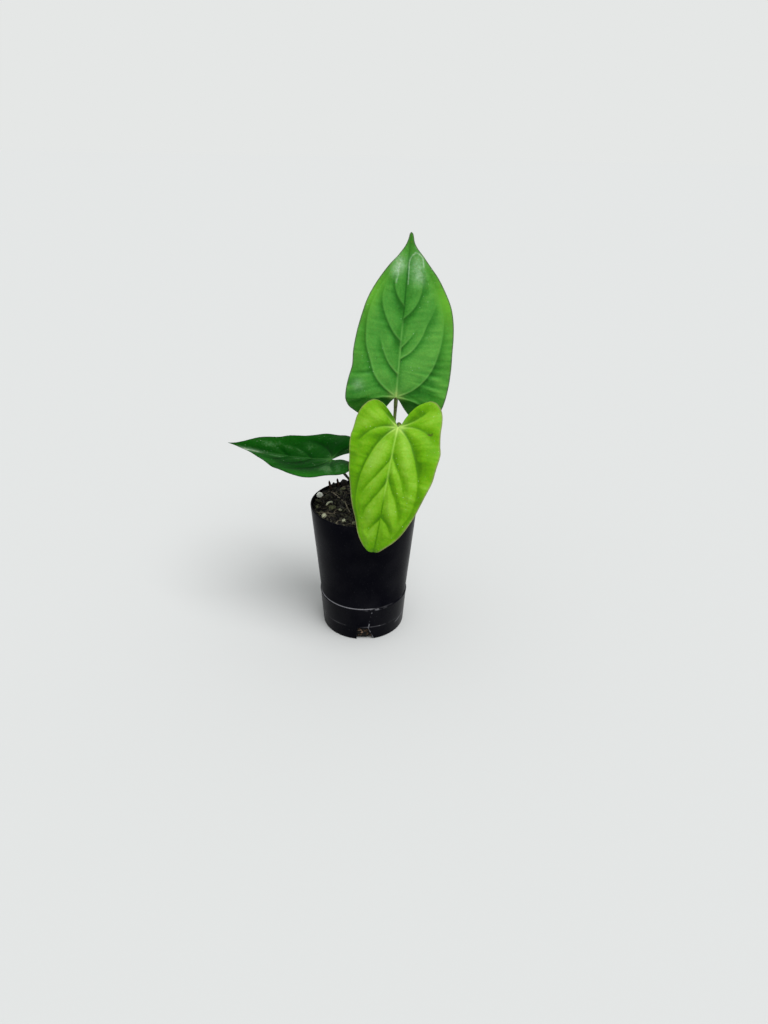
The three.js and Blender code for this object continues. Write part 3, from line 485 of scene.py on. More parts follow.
# Coir shreds and loose roots
# Thin dry strands that lie across the mix. Each is a length of fibre, bent by drying, thicker in
# the middle and frayed to a point at both ends.
def curve_points(points, steps=16):
    """Dense points on the centripetal curve through the given ones."""
    p = np.array(points, float)
    p = np.vstack([2 * p[0] - p[1], p, 2 * p[-1] - p[-2]])
    dense = []
    for i in range(1, len(p) - 2):
        gaps = np.linalg.norm(np.diff(p[i - 1:i + 3], axis=0), axis=1)
        knots = np.concatenate([[0], np.cumsum(gaps ** 0.5)])
        t = np.linspace(knots[1], knots[2], steps, endpoint=False)[:, None]
        level = list(p[i - 1:i + 3])
        for spans in (zip(knots, knots[1:]), zip(knots, knots[2:]), [(knots[1], knots[2])]):
            level = [((b - t) * here + (t - a) * there) / (b - a)
                     for here, there, (a, b) in zip(level, level[1:], spans)]
        dense.append(level[0])
    dense.append(p[-2][None])
    return np.vstack(dense)


def path_carrier(name, points):
    """A line of edges through the points, for a tree that makes a tube of it."""
    return new_mesh(name, points, [(i, i + 1) for i in range(len(points) - 1)])


def strand_tree(name, profile):
    """A tube along a path. The profile gives its share of the full radius at shares of its length."""
    tree = bpy.data.node_groups.new(name, "GeometryNodeTree")
    given = tree_inputs(tree, Radius="Float", Wrinkle="Float", Steps="Int", Sides="Int", Finish="Material")
    path = add(tree, "GeometryNodeMeshToCurve", {"Mesh": given["Geometry"]})
    even = add(tree, "GeometryNodeResampleCurve", {"Curve": path, "Count": given["Steps"]})
    share = add(tree, "ShaderNodeFloatCurve", {"Value": add(tree, "GeometryNodeSplineParameter")})
    points = share.mapping.curves[0].points
    points[0].location, points[1].location = profile[0], profile[-1]
    for spot in profile[1:-1]:
        points.new(*spot)
    share.mapping.update()
    radius = add(tree, "ShaderNodeMath", {0: share, 1: given["Radius"]}, operation="MULTIPLY")
    ring = add(tree, "GeometryNodeCurvePrimitiveCircle", {"Resolution": given["Sides"], "Radius": 1.0})
    tube = add(tree, "GeometryNodeCurveToMesh", {
        "Curve": even, "Profile Curve": ring, "Fill Caps": True, "Scale": radius})
    moved = add(tree, "GeometryNodeSetPosition", {
        "Geometry": tube, "Offset": ragged_offset(tree, 700.0, given["Wrinkle"])})
    smooth = add(tree, "GeometryNodeSetShadeSmooth", {"Geometry": moved, "Shade Smooth": True})
    real = add(tree, "GeometryNodeRealizeInstances", {"Geometry": smooth})
    done = add(tree, "GeometryNodeSetMaterial", {"Geometry": real, "Material": given["Finish"]})
    add(tree, "NodeGroupOutput", {"Geometry": done})
    return tree


def mark_points(piece, key, values):
    """Keeps a number for each point of a piece, or one for all of them, for its material to read."""
    attribute = piece.data.attributes.new(key, "FLOAT", "POINT")
    each = np.broadcast_to(np.asarray(values, dtype=np.float32), len(piece.data.vertices))
    attribute.data.foreach_set("value", np.ascontiguousarray(each))


thread = strand_tree("Dried thread", [(0, 0.25), (0.25, 1), (0.75, 1), (1, 0.15)])


def make_shreds(count):
    """Coir shreds strewn at random over the bed, joined as one mesh of many short strands."""
    rng = np.random.default_rng(21)
    steps, spread, reach = 6, 37.5, 39.3
    points, edges = [], []
    for _ in range(count):
        angle, r = rng.uniform(0, 2 * math.pi), spread * math.sqrt(rng.uniform(0, 1))
        heading, length, bend = rng.uniform(0, 2 * math.pi), rng.uniform(3, 13), rng.uniform(-0.9, 0.9)
        lift = rng.uniform(0.5, 1.5)
        start = len(points)
        for s in np.linspace(-0.5, 0.5, steps):
            x = r * math.cos(angle) + length * s * math.cos(heading + bend * s * 2)
            y = r * math.sin(angle) + length * s * math.sin(heading + bend * s * 2)
            inward = min(1.0, reach / math.hypot(x, y))
            x *= inward
            y *= inward
            points.append((x, y, float(mix_height(x, y)) + lift + 0.8 * abs(s)))
        edges += [(start + k, start + k + 1) for k in range(steps - 1)]
    piece = run_tree("coir_shreds", thread, new_mesh("coir_shreds", points, edges), "root", Radius=0.00017,
                     Wrinkle=0.0005, Steps=9, Sides=5, Finish=coir_fibre)
    mark_points(piece, "tone", np.repeat(rng.uniform(0, 1, count) ** 1.6, len(piece.data.vertices) // count))


make_shreds(230)


def lay_strand(name, route, lift, slot_name, replaced, tone, **inputs):
    """A strand that lies on the bed along a route of (x, y), raised by lift, and bridges its lumps."""
    followed = 0.4
    path = [(x, y, MIX_LEVEL + lift + followed * (float(mix_height(x, y)) - MIX_LEVEL)) for x, y in route]
    strand = run_tree(name, thread, path_carrier(name, curve_points(path)), slot_name, replaced, **inputs)
    mark_points(strand, "tone", tone)


for name, route, lift, radius, tone in (
        ("loose_root_1", [(-27.2, 22.2), (-24, 17), (-20.6, 11.6), (-17.2, 6.4)], 1.6, 0.55, 1.0),
        ("loose_root_2", [(-15.4, 5.2), (-14, -0.6), (-12.6, -6.4), (-10.8, -13)], 1.3, 0.42, 0.85)):
    lay_strand(name + "_dry", route, lift, "root", [name], tone, Radius=radius * MM, Wrinkle=0.0003, Steps=40,
               Sides=8, Finish=coir_fibre)
lay_strand("long_coir_fibre", [(-37.6, -13.6), (-33.8, -14.4), (-28.6, -14.8), (-23.7, -15.4)], 2.2, "root",
           (), 0.7, Radius=0.00024, Wrinkle=0.0004, Steps=30, Sides=6, Finish=coir_fibre)


# Loose bits on the mix
# Bark flakes bleached at their broken faces, a curl of inner bark, dark splinters that lean over
# the rim, and grains of perlite: volcanic glass puffed by heat into a white crumbly foam.

# Weathered bark is a dull olive grey and nearly cream where it broke last. A splinter is red brown
pale_bark = grain_material("weathered_bark", ["#35351f", "#4a4d33", "#6e7054", "#c4c6ac"], 0.85, 1.429, 0.4)
dark_splinter = grain_material("dark_bark_splinter", ["#120b07", "#2a1810", "#3a2416"], 0.8, 1.111, 0.3)


def puffed_perlite():
    """Perlite: chalky white, a little shaded in its pits, quite rough."""
    material, tree, place = new_material("puffed_perlite")
    cells = add(tree, "ShaderNodeTexVoronoi", {"Vector": place, "Scale": marks_a_metre(0.6667)})
    shade = add(tree, "ShaderNodeMix", {"Factor": cells, "A": linear("#ffffff"), "B": linear("#e8e7da")},
                data_type="RGBA")
    finish_material(tree, {"Base Color": shade, "Roughness": 0.9, "Specular IOR Level": 0.2},
                    height=cells, strength=0.5, depth=0.4)
    return material


def dressed_bit(node, name, material, ragged, cell, seed, tone, smooth=False):
    """A finer copy of a small solid: merged, divided twice, then roughened along its own shape."""
    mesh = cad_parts[node].data.copy()
    mesh.materials.clear()
    mesh.materials.append(material)
    piece = placed(name, mesh)
    weld = piece.modifiers.new("weld", "WELD")
    weld.merge_threshold = 1e-6
    divide = piece.modifiers.new("divide", "SUBSURF")
    divide.subdivision_type = "SIMPLE"
    divide.levels = divide.render_levels = 2
    fine = made_plain(piece)
    points = np.array([v.co for v in fine.vertices]) / MM
    centre = (points.max(0) + points.min(0)) / 2
    shift = lattice_noise(points, cell, seed) + 0.5 * lattice_noise(points, cell / 2.3, seed + 1)
    points = centre + (points - centre) * (1 + ragged * (shift - 0.4))[:, None]
    fine.vertices.foreach_set("co", (points * MM).ravel())
    if smooth:
        fine.shade_smooth()
    else:
        fine.shade_flat()
    settle(piece, [node])
    mark_points(piece, "tone", tone)


perlite = puffed_perlite()
for number in (1, 2, 3):
    dressed_bit(f"perlite_{number}", f"perlite_grain_{number}", perlite, 0.06, 1.1, 30 + number,
                1.0, smooth=True)
# The first ten flakes are pale and lie scattered, and the last three are damp and heaped at the rim
flake_tones = (0.45, 0.85, 0.5, 0.55, 0.85, 0.7, 0.15, 0.3, 0.1, 0.8, 0.75, 0.5, 0.6)
for number, tone in enumerate(flake_tones, 1):
    bark = pale_bark if number <= 10 else damp_bark
    dressed_bit(f"bark_chip_{number}", f"bark_flake_{number}", bark, 0.16, 1.3, 40 + number, tone)
for number in (1, 2):
    dressed_bit(f"bark_splinter_{number}", f"splinter_{number}", dark_splinter, 0.12, 0.9,
                60 + number, 0.6)
lay_strand("bark_curl_flake", [(-29.6, -1.6), (-28.6, 1.4), (-26.6, 3), (-24.9, 2.2)], 2.0, "bark",
           ["bark_curl"], 1.0, Radius=0.0008, Wrinkle=0.0004, Steps=26, Sides=8, Finish=pale_bark)


# Stem and sheath leaf
# A short ringed stock of living tissue stands in the mix and carries the leaf stalks. A dry papery
# sheath leaf, left from the newest leaf, clasps its back.
def living_stalk(name, colours, gloss):
    """Stem and stalk tissue: green with brown flecks and fine lengthwise streaks, waxy and half glossy."""
    material, tree, place = new_material(name)
    width, length = marks_a_metre(1.111), marks_a_metre(8.333)
    long_grain = add(tree, "ShaderNodeMapping", {"Vector": place, "Scale": (width, width, length)})
    streaks = add(tree, "ShaderNodeTexNoise", {"Vector": long_grain, "Scale": 1.0, "Detail": 3.0})
    flecks = add(tree, "ShaderNodeTexNoise", {
        "Vector": place, "Scale": marks_a_metre(2.381), "Detail": 2.0})
    spread = add(tree, "ShaderNodeMapRange", {"Value": streaks, "From Min": 0.35, "From Max": 0.65})
    green = add(tree, "ShaderNodeMix", {"Factor": spread, "A": linear(colours[0]), "B": linear(colours[1])},
                data_type="RGBA")
    dots = add(tree, "ShaderNodeMapRange", {"Value": flecks, "From Min": 0.52, "From Max": 0.64})
    colour = add(tree, "ShaderNodeMix", {"Factor": dots, "A": green, "B": linear(colours[2])},
                 data_type="RGBA")
    finish_material(tree, {
        "Base Color": colour, "Roughness": gloss, "Specular IOR Level": 0.3, "Subsurface Weight": 0.1,
        "Subsurface Scale": 2 * MM}, height=streaks, strength=0.35, depth=0.3)
    return material


# The stock is the same tissue turned to cork: dull, and more brown than green
woody_stock = living_stalk("woody_stem_tissue", ("#3c3a20", "#524d2e", "#2b2015"), 0.7)


def make_stem():
    """The stock: slightly tapered, with a raised ring where each old leaf stood."""
    sides, radius, scars, foot, length, rounded = 28, 4.0, 5, 80, 40, 6
    centres = curve_points([(0, 0, 90), (0, 0, 100), (0.2, 0, 112), (0.6, -0.2, 120)], 24)
    rows = []
    for i, (x, y, z) in enumerate(centres):
        s = (z - foot) / length
        scar = math.cos(2 * math.pi * scars * s) ** 6
        crown = math.sqrt(max(0.0, 1 - max(0.0, (i - len(centres) + rounded) / rounded) ** 2))
        rows.append(ring((radius * (1 - 0.25 * s * s) + 0.3 * scar) * max(crown, 0.15), z, sides, (x, y)))
    points = np.vstack(rows)
    points += 0.12 * lattice_noise(points, 1.3, 12)[:, None]
    faces = ring_faces(len(rows), sides) + end_faces(len(rows), sides)
    new_piece("stem_stock", points, faces, woody_stock, ["stem"])


make_stem()


def dry_sheath_leaf():
    """Dead sheath leaf: thin tan tissue, streaked lengthwise, dull and slightly frayed."""
    material, tree, place = new_material("dry_sheath_leaf")
    width, length = marks_a_metre(0.7143), marks_a_metre(16.67)
    stretch = add(tree, "ShaderNodeMapping", {"Vector": place, "Scale": (width, width, length)})
    streaks = add(tree, "ShaderNodeTexNoise", {"Vector": stretch, "Scale": 1.0, "Detail": 3.0})
    spread = add(tree, "ShaderNodeMapRange", {"Value": streaks, "From Min": 0.3, "From Max": 0.7})
    colour = add(tree, "ShaderNodeMix", {"Factor": spread, "A": linear("#3a2414"), "B": linear("#a37d50")},
                 data_type="RGBA")
    finish_material(tree, {"Base Color": colour, "Roughness": 0.75, "Specular IOR Level": 0.25},
                    height=streaks, strength=0.6, depth=0.3)
    return material


def make_sheath_leaf():
    """A curved lance-shaped sheet round the back of the stem, with ribs and a ragged edge."""
    rows, columns = 70, 40
    height, foot, heading, half_angle, radius, flare = 34, 109, 100, 38, 5.1, 3.2
    s = np.linspace(0, 1, rows + 1)[:, None]
    v = np.linspace(-1, 1, columns + 1)[None, :]
    spread = half_angle * (1 - s ** 2.2) + 2
    ragged = 1 + (0.05 + 0.1 * s) * np.sin(37 * s) * np.sin(23 * s + 1)
    curled = 0.5 * s * v ** 2 * np.sin(5.5 * s + 1.8 * v)
    angle = np.radians(heading + spread * v * ragged)
    rib = 0.12 * np.cos(v * 9 * math.pi) * (1 - s)
    sheets = []
    for offset in (0.55, 0.1):
        r = radius + flare * s ** 1.6 + offset + rib + curled
        sheets.append(np.stack([r * np.cos(angle), r * np.sin(angle), foot + height * s + 0 * v], -1))
    sheet_piece("cataphyll_sheath", *sheets, dry_sheath_leaf(), "dry_sheath", ["cataphyll"])


def sheet_piece(name, upper, lower, material, slot_name, replaced):
    """A closed thin sheet from two grids of points, with a rim that joins them all round."""
    rows, columns = upper.shape[0] - 1, upper.shape[1] - 1
    count = (rows + 1) * (columns + 1)

    def at(i, k):
        return i * (columns + 1) + k

    faces = []
    for i in range(rows):
        for k in range(columns):
            loop = (at(i, k), at(i, k + 1), at(i + 1, k + 1), at(i + 1, k))
            faces += [loop, tuple(count + c for c in reversed(loop))]
    rim = [at(0, k) for k in range(columns)] + [at(i, columns) for i in range(rows)]
    rim += [at(rows, k) for k in range(columns, 0, -1)] + [at(i, 0) for i in range(rows, 0, -1)]
    for a, b in zip(rim, rim[1:] + rim[:1]):
        faces.append((b, a, count + a, count + b))
    points = np.vstack([upper.reshape(-1, 3), lower.reshape(-1, 3)])
    piece = new_piece(name, points, faces, material, replaced)
    piece.data.set_sharp_from_angle(angle=math.radians(55))
    return piece


make_sheath_leaf()


# Leaf blades
# Living leaves, each one thin sheet. Main veins are pressed into the upper face and stand out
# below, the tissue between them puffs up, and the margin waves a little.
BLADE_THICKNESS = 0.5
BLADE_ROWS = 210
HALF_COLUMNS = 80
UV_SPAN = 150
NET_CELL = 2.419
JOINT_PATCH = 5
# Widths to each side of a vein: its pale line, its rib below, the step down beside it, the reach of
# that step, of the painted shade on its side towards the stalk, and of the painted light on the other
LINE_WIDTH = 0.5
RIB_WIDTH = 0.8
STEP_WIDTH = 0.25
STEP_REACH = 5
PAINTED_SHADE_REACH = 3.6
PAINTED_LIGHT_REACH = 5
PUFF_REACH = 4.5
# Widths along the margin: its brown line, its thinned edge and the band that turns yellower
MARGIN_LINE = 0.75
THIN_EDGE = 2.5
YELLOW_BAND = 14


def turn_frame(point, along, face, length, degrees):
    """The frame after an arc of midrib that bends away from the face. length may be an array."""
    length = np.asarray(length, float)
    angle = np.radians(np.asarray(degrees, float)) + 1e-9
    radius = (length / angle)[..., None]
    cos, sin = np.cos(angle)[..., None], np.sin(angle)[..., None]
    moved = point + along * radius * sin - face * radius * (1 - cos)
    return moved, along * cos - face * sin, face * cos + along * sin


def midrib_frames(leaf, w):
    """Point, direction and face of the midrib at each distance w from the joint."""
    heading, pitch, roll = (math.radians(leaf[k]) for k in ("heading", "pitch", "roll"))
    flat = np.array([math.cos(heading), math.sin(heading), 0])
    along = flat * math.cos(pitch) + np.array([0, 0, math.sin(pitch)])
    level = np.array([math.sin(heading), -math.cos(heading), 0])
    upward = np.cross(level, along)
    across = level * math.cos(roll) + upward * math.sin(roll)
    face = upward * math.cos(roll) - level * math.sin(roll)
    back_length, back_turn = leaf["back"]
    origin = np.array(leaf["joint"], float)
    points, _, faces = turn_frame(origin, along, face, w, back_turn * w / back_length)
    passed, point = 0.0, origin
    for length, turn in leaf["arcs"]:
        here = w >= passed
        part = np.where(here, w - passed, 0.0)
        p, _, f = turn_frame(point, along, face, part, turn * part / length)
        points = np.where(here[..., None], p, points)
        faces = np.where(here[..., None], f, faces)
        point, along, face = turn_frame(point, along, face, length, turn)
        passed += length
    return points, across, faces


def distance_to(path, u, w):
    """Distance from each point to a path, how far along it that is (0 to 1), and on which side."""
    nearest = np.full(u.shape, 1e9)
    share, side = np.zeros(u.shape), np.zeros(u.shape)
    lengths = np.linalg.norm(np.diff(path, axis=0), axis=1)
    starts = np.concatenate([[0], np.cumsum(lengths)])
    for i, (ax, ay) in enumerate(path[:-1]):
        dx, dy = path[i + 1] - path[i]
        t = np.clip(((u - ax) * dx + (w - ay) * dy) / (dx * dx + dy * dy), 0, 1)
        gap = np.hypot(u - ax - t * dx, w - ay - t * dy)
        closer = gap < nearest
        nearest = np.where(closer, gap, nearest)
        share = np.where(closer, (starts[i] + t * lengths[i]) / starts[-1], share)
        side = np.where(closer, np.sign(dx * (w - ay) - dy * (u - ax)), side)
    return nearest, share, side


def eased(x):
    """A smooth step from 0 to 1 as x goes from 0 to 1."""
    t = np.clip(x, 0, 1)
    return t * t * (3 - 2 * t)


def at_shares(dense, shares):
    """Points at the given shares of a dense line's length."""
    run = np.concatenate([[0], np.cumsum(np.linalg.norm(np.diff(dense, axis=0), axis=1))])
    return np.stack([np.interp(np.asarray(shares) * run[-1], run, dense[:, k]) for k in range(2)], -1)


def midrib_shift(leaf, w):
    """How far the midrib has swept to the side at each distance w from the joint."""
    return leaf["side_sweep"] * (np.maximum(w, 0) / leaf["length"]) ** 3


def half_grid(leaf, half, rows, reaches):
    """Flat (u, w) of half a blade: rows run from the sinus edge to the tip, reaches from rib to margin."""
    row = rows[:, None]
    reach = reaches[None, :]
    w_foot = leaf["length"] * row ** 1.45
    tip = (midrib_shift(leaf, leaf["length"]), leaf["length"])
    sinus = at_shares(curve_points([(0, 0)] + half["sinus"] + half["margin"][:1]), reaches)
    margin = at_shares(curve_points(half["margin"] + [tip]), rows)
    start = half["margin"][0]
    fade = (1 - row) ** 5
    u = midrib_shift(leaf, w_foot) * (1 - reach) + margin[:, :1] * reach
    u = u + (sinus[None, :, 0] - start[0] * reach) * fade
    w = w_foot * (1 - reach) + margin[:, 1:] * reach + (sinus[None, :, 1] - start[1] * reach) * fade
    return u, w


def blots(marks, u, w):
    """Soft light or dark marks on the flat of a leaf, each a centre, its two radii and a strength."""
    total = np.zeros(u.shape)
    for (centre_u, centre_w), (radius_u, radius_w), strength in marks:
        total += strength * np.exp(-(((u - centre_u) / radius_u) ** 2 + ((w - centre_w) / radius_w) ** 2))
    return total


def relief(leaf, half, u, w, reach, row):
    """Height of the sheet over its midrib plane, with what the material needs to know of each place. A
    main vein is a thin ridge: the sheet falls away on its side towards the stalk, with painted shade there
    and painted light on its other side."""
    soft = 1.5
    outward = math.copysign(1, half["margin"][0][0])
    across = u - midrib_shift(leaf, w)
    fold_0, fold_1 = leaf["fold"]
    fold_angle = np.radians(fold_0 + (fold_1 - fold_0) * eased(w / (0.83 * leaf["length"])))
    fold = np.tan(fold_angle) * (np.hypot(across, soft) - soft)
    crown = leaf["camber"] * u * u / 1000
    nearest = np.abs(across)
    from_joint = np.hypot(u, w)
    line, painted_vein_shade, drop, lit = (np.zeros(u.shape) for _ in range(4))
    ridge = (1 - 0.75 * row) * np.exp(-across ** 2)
    for vein in half["veins"]:
        gap, share, side = distance_to(curve_points(vein, 6), u, w)
        strength = (1 - half["vein_fade"] * share) * (1 - 0.9 * eased((share - 0.8) / 0.2))
        strength = strength * eased(from_joint / JOINT_PATCH)
        to_tip = np.clip(gap * side * outward, -9, 9)
        basal = strength / (1 + np.exp(to_tip / STEP_WIDTH))
        line = np.maximum(line, strength * np.exp(-((to_tip - 0.15) / LINE_WIDTH) ** 2))
        ridge = np.maximum(ridge, strength * np.exp(-(gap / RIB_WIDTH) ** 2))
        # Painted shade on the side of each vein towards the stalk
        painted_vein_shade = np.maximum(painted_vein_shade, basal * np.exp(-(gap / PAINTED_SHADE_REACH) ** 1.3))
        # Painted light on the side of each vein away from the stalk
        lit = np.maximum(lit, (strength - basal) * np.exp(-gap / PAINTED_LIGHT_REACH))
        drop = np.maximum(drop, basal * (1 - np.exp(-gap / 1.2)) * np.exp(-(gap / STEP_REACH) ** 2))
        nearest = np.minimum(nearest, gap)
    puff = leaf["puff"] * (1 - np.exp(-(nearest / PUFF_REACH) ** 2)) * (1 - eased((reach - 0.6) / 0.5))
    settled = eased((1 - row) / 0.15) * reach ** 3
    edge = leaf["wave"] * settled * np.sin(2 * math.pi * leaf["waves"] * row + half["phase"])
    rib_u, rib_w = half["veins"][1][1]
    rib_angle = math.atan2(rib_w, abs(rib_u))
    beyond = np.abs(u) * math.sin(rib_angle) - w * math.cos(rib_angle) - 0.6
    turned_back = leaf["lobe_turn"] * np.maximum(0, beyond) * (w < 0)
    rib = (1 - 0.75 * row) * np.exp(-(across / 0.7) ** 2)
    pale = 1 - eased((w / leaf["length"] - leaf["pale_rib"]) / 0.12)
    line = np.maximum(line * np.exp(-(from_joint / leaf["pale_veins"]) ** 2), rib * pale)
    # Painted shade along the midrib past its pale part, and a soft painted shadow to each side of it
    painted_vein_shade = np.maximum(painted_vein_shade, 1.3 * rib * (1 - pale))
    painted_vein_shade = np.maximum(painted_vein_shade, 0.4 * (1 - row) * np.exp(-(np.abs(across) / 2.4) ** 1.3) * (np.abs(across) > 0.4))
    seed = leaf["seed"] + (3 if outward > 0 else 9)
    side_line = np.stack([row * 95, reach * 3.0, 0 * u], -1)
    ripple = lattice_noise(side_line, 1.0, seed) * (0.3 + 0.7 * reach)
    ripple = ripple * eased(nearest / 2.5) * leaf["ripple"]
    streak = lattice_noise(side_line * 0.55, 1.0, seed + 1) * blots(leaf["streaks"], u, w)
    pillow = lattice_noise(np.stack([u, w, 0 * u], -1), 8.0, seed + 2) * eased(nearest / 4)
    height = fold - crown + puff + edge - turned_back
    height = height - leaf["crease"] * drop + 0.2 * line + 0.16 * ripple + 0.4 * streak + 0.3 * pillow
    # Painted shade on the lobes where they turn back beside the joint
    shade = np.clip(beyond / 2, 0, 1) * (w < 0) * leaf["lobe_turn"] * np.exp(-(from_joint / 17) ** 4)
    # Painted light and shade of the relief: lighter and darker with the ripple, streaks and pillows, lighter
    # away from the veins and on their lit side
    painted_relief_shading = 0.15 * ripple + 0.34 * streak + 0.1 * pillow
    painted_relief_shading = painted_relief_shading + 0.08 * eased(nearest / 5) + 0.2 * lit * leaf["ripple"]
    return {"height": height, "groove": 0.15 * rib, "vein": line, "ridge": ridge, "painted_vein_shade": painted_vein_shade,
            "painted_relief_shading": painted_relief_shading, "shade": shade}


def make_blade(leaf, material, slot_name, name, node):
    """The blade as a fine closed sheet on the form of its solid, with vein, margin and joint marks."""
    rows = np.linspace(0, 1, BLADE_ROWS + 1)
    reaches = np.linspace(0, 1, HALF_COLUMNS + 1)
    halves = []
    for key in ("minus", "plus"):
        u, w = half_grid(leaf, leaf[key], rows, reaches)
        row, reach = np.broadcast_arrays(rows[:, None], reaches[None, :])
        known = relief(leaf, leaf[key], u, w, reach, row)
        span = np.hypot(np.diff(u, axis=1), np.diff(w, axis=1)).sum(1)[:, None]
        known.update(u=u, w=w, row=row, to_margin=(1 - reach) * span)
        halves.append(known)
    at = {key: np.concatenate([halves[0][key][:, ::-1], halves[1][key][:, 1:]], axis=1) for key in halves[0]}
    u, w, to_margin = at["u"], at["w"], at["to_margin"]
    points, across, faces = midrib_frames(leaf, w)
    sheet = points + across * u[..., None] + faces * at["height"][..., None]
    normal = np.cross(np.gradient(sheet, axis=1), np.gradient(sheet, axis=0))
    size = np.linalg.norm(normal, axis=-1, keepdims=True)
    least = 1e-9
    normal = np.where(size > least, normal / np.maximum(size, least), faces)
    normal[-1] = normal[-3, HALF_COLUMNS]
    half_thick = BLADE_THICKNESS / 2 * (0.5 + 0.5 * eased(to_margin / THIN_EDGE))
    upper = sheet + normal * (half_thick - at["groove"] * eased(to_margin / 3))[..., None]
    ridge = 0.55 * at["ridge"] * eased(to_margin / 4) * eased(np.hypot(u, w) / JOINT_PATCH)
    lower = sheet - normal * (half_thick + ridge)[..., None]
    piece = sheet_piece(name, upper, lower, material, slot_name, [node])
    values = {
        # The tone holds painted light and shade: the light patches, the painted shade beside the veins at the
        # strength depth, and the painted shading of the relief
        "tone": leaf["tone"] + blots(leaf["light"], u, w) - leaf["depth"] * at["painted_vein_shade"] + at["painted_relief_shading"],
        "vein": at["vein"], "ridge": at["ridge"], "shade": at["shade"],
        "joint": np.exp(-(np.hypot(u, w) / JOINT_PATCH) ** 2),
        "margin": np.exp(-(to_margin / MARGIN_LINE) ** 2),
        "edge_band": (1 - eased(to_margin / YELLOW_BAND)) * (0.2 + blots(leaf["edge"], u, w)),
        "film": leaf["film"](u, w), "spot": blots(leaf["spots"], u, w),
    }
    for key, value in values.items():
        mark_points(piece, key, np.tile(np.clip(value, 0, 1).reshape(-1), 2))
    mark_points(piece, "under", np.repeat((0, 1), u.size))
    flat_map = piece.data.uv_layers.new(name="flat")
    corner = np.zeros(len(piece.data.loops), dtype=np.int32)
    piece.data.loops.foreach_get("vertex_index", corner)
    uv = np.tile(np.stack([0.5 + u.reshape(-1) / UV_SPAN, 0.2 + w.reshape(-1) / UV_SPAN], -1), (2, 1))
    flat_map.data.foreach_set("uv", uv[corner].ravel().astype(np.float32))
    # The last row's points meet at the tip, so they are merged and the sheet closes there
    weld = piece.modifiers.new("weld", "WELD")
    weld.merge_threshold = 2e-6
    made_plain(piece)


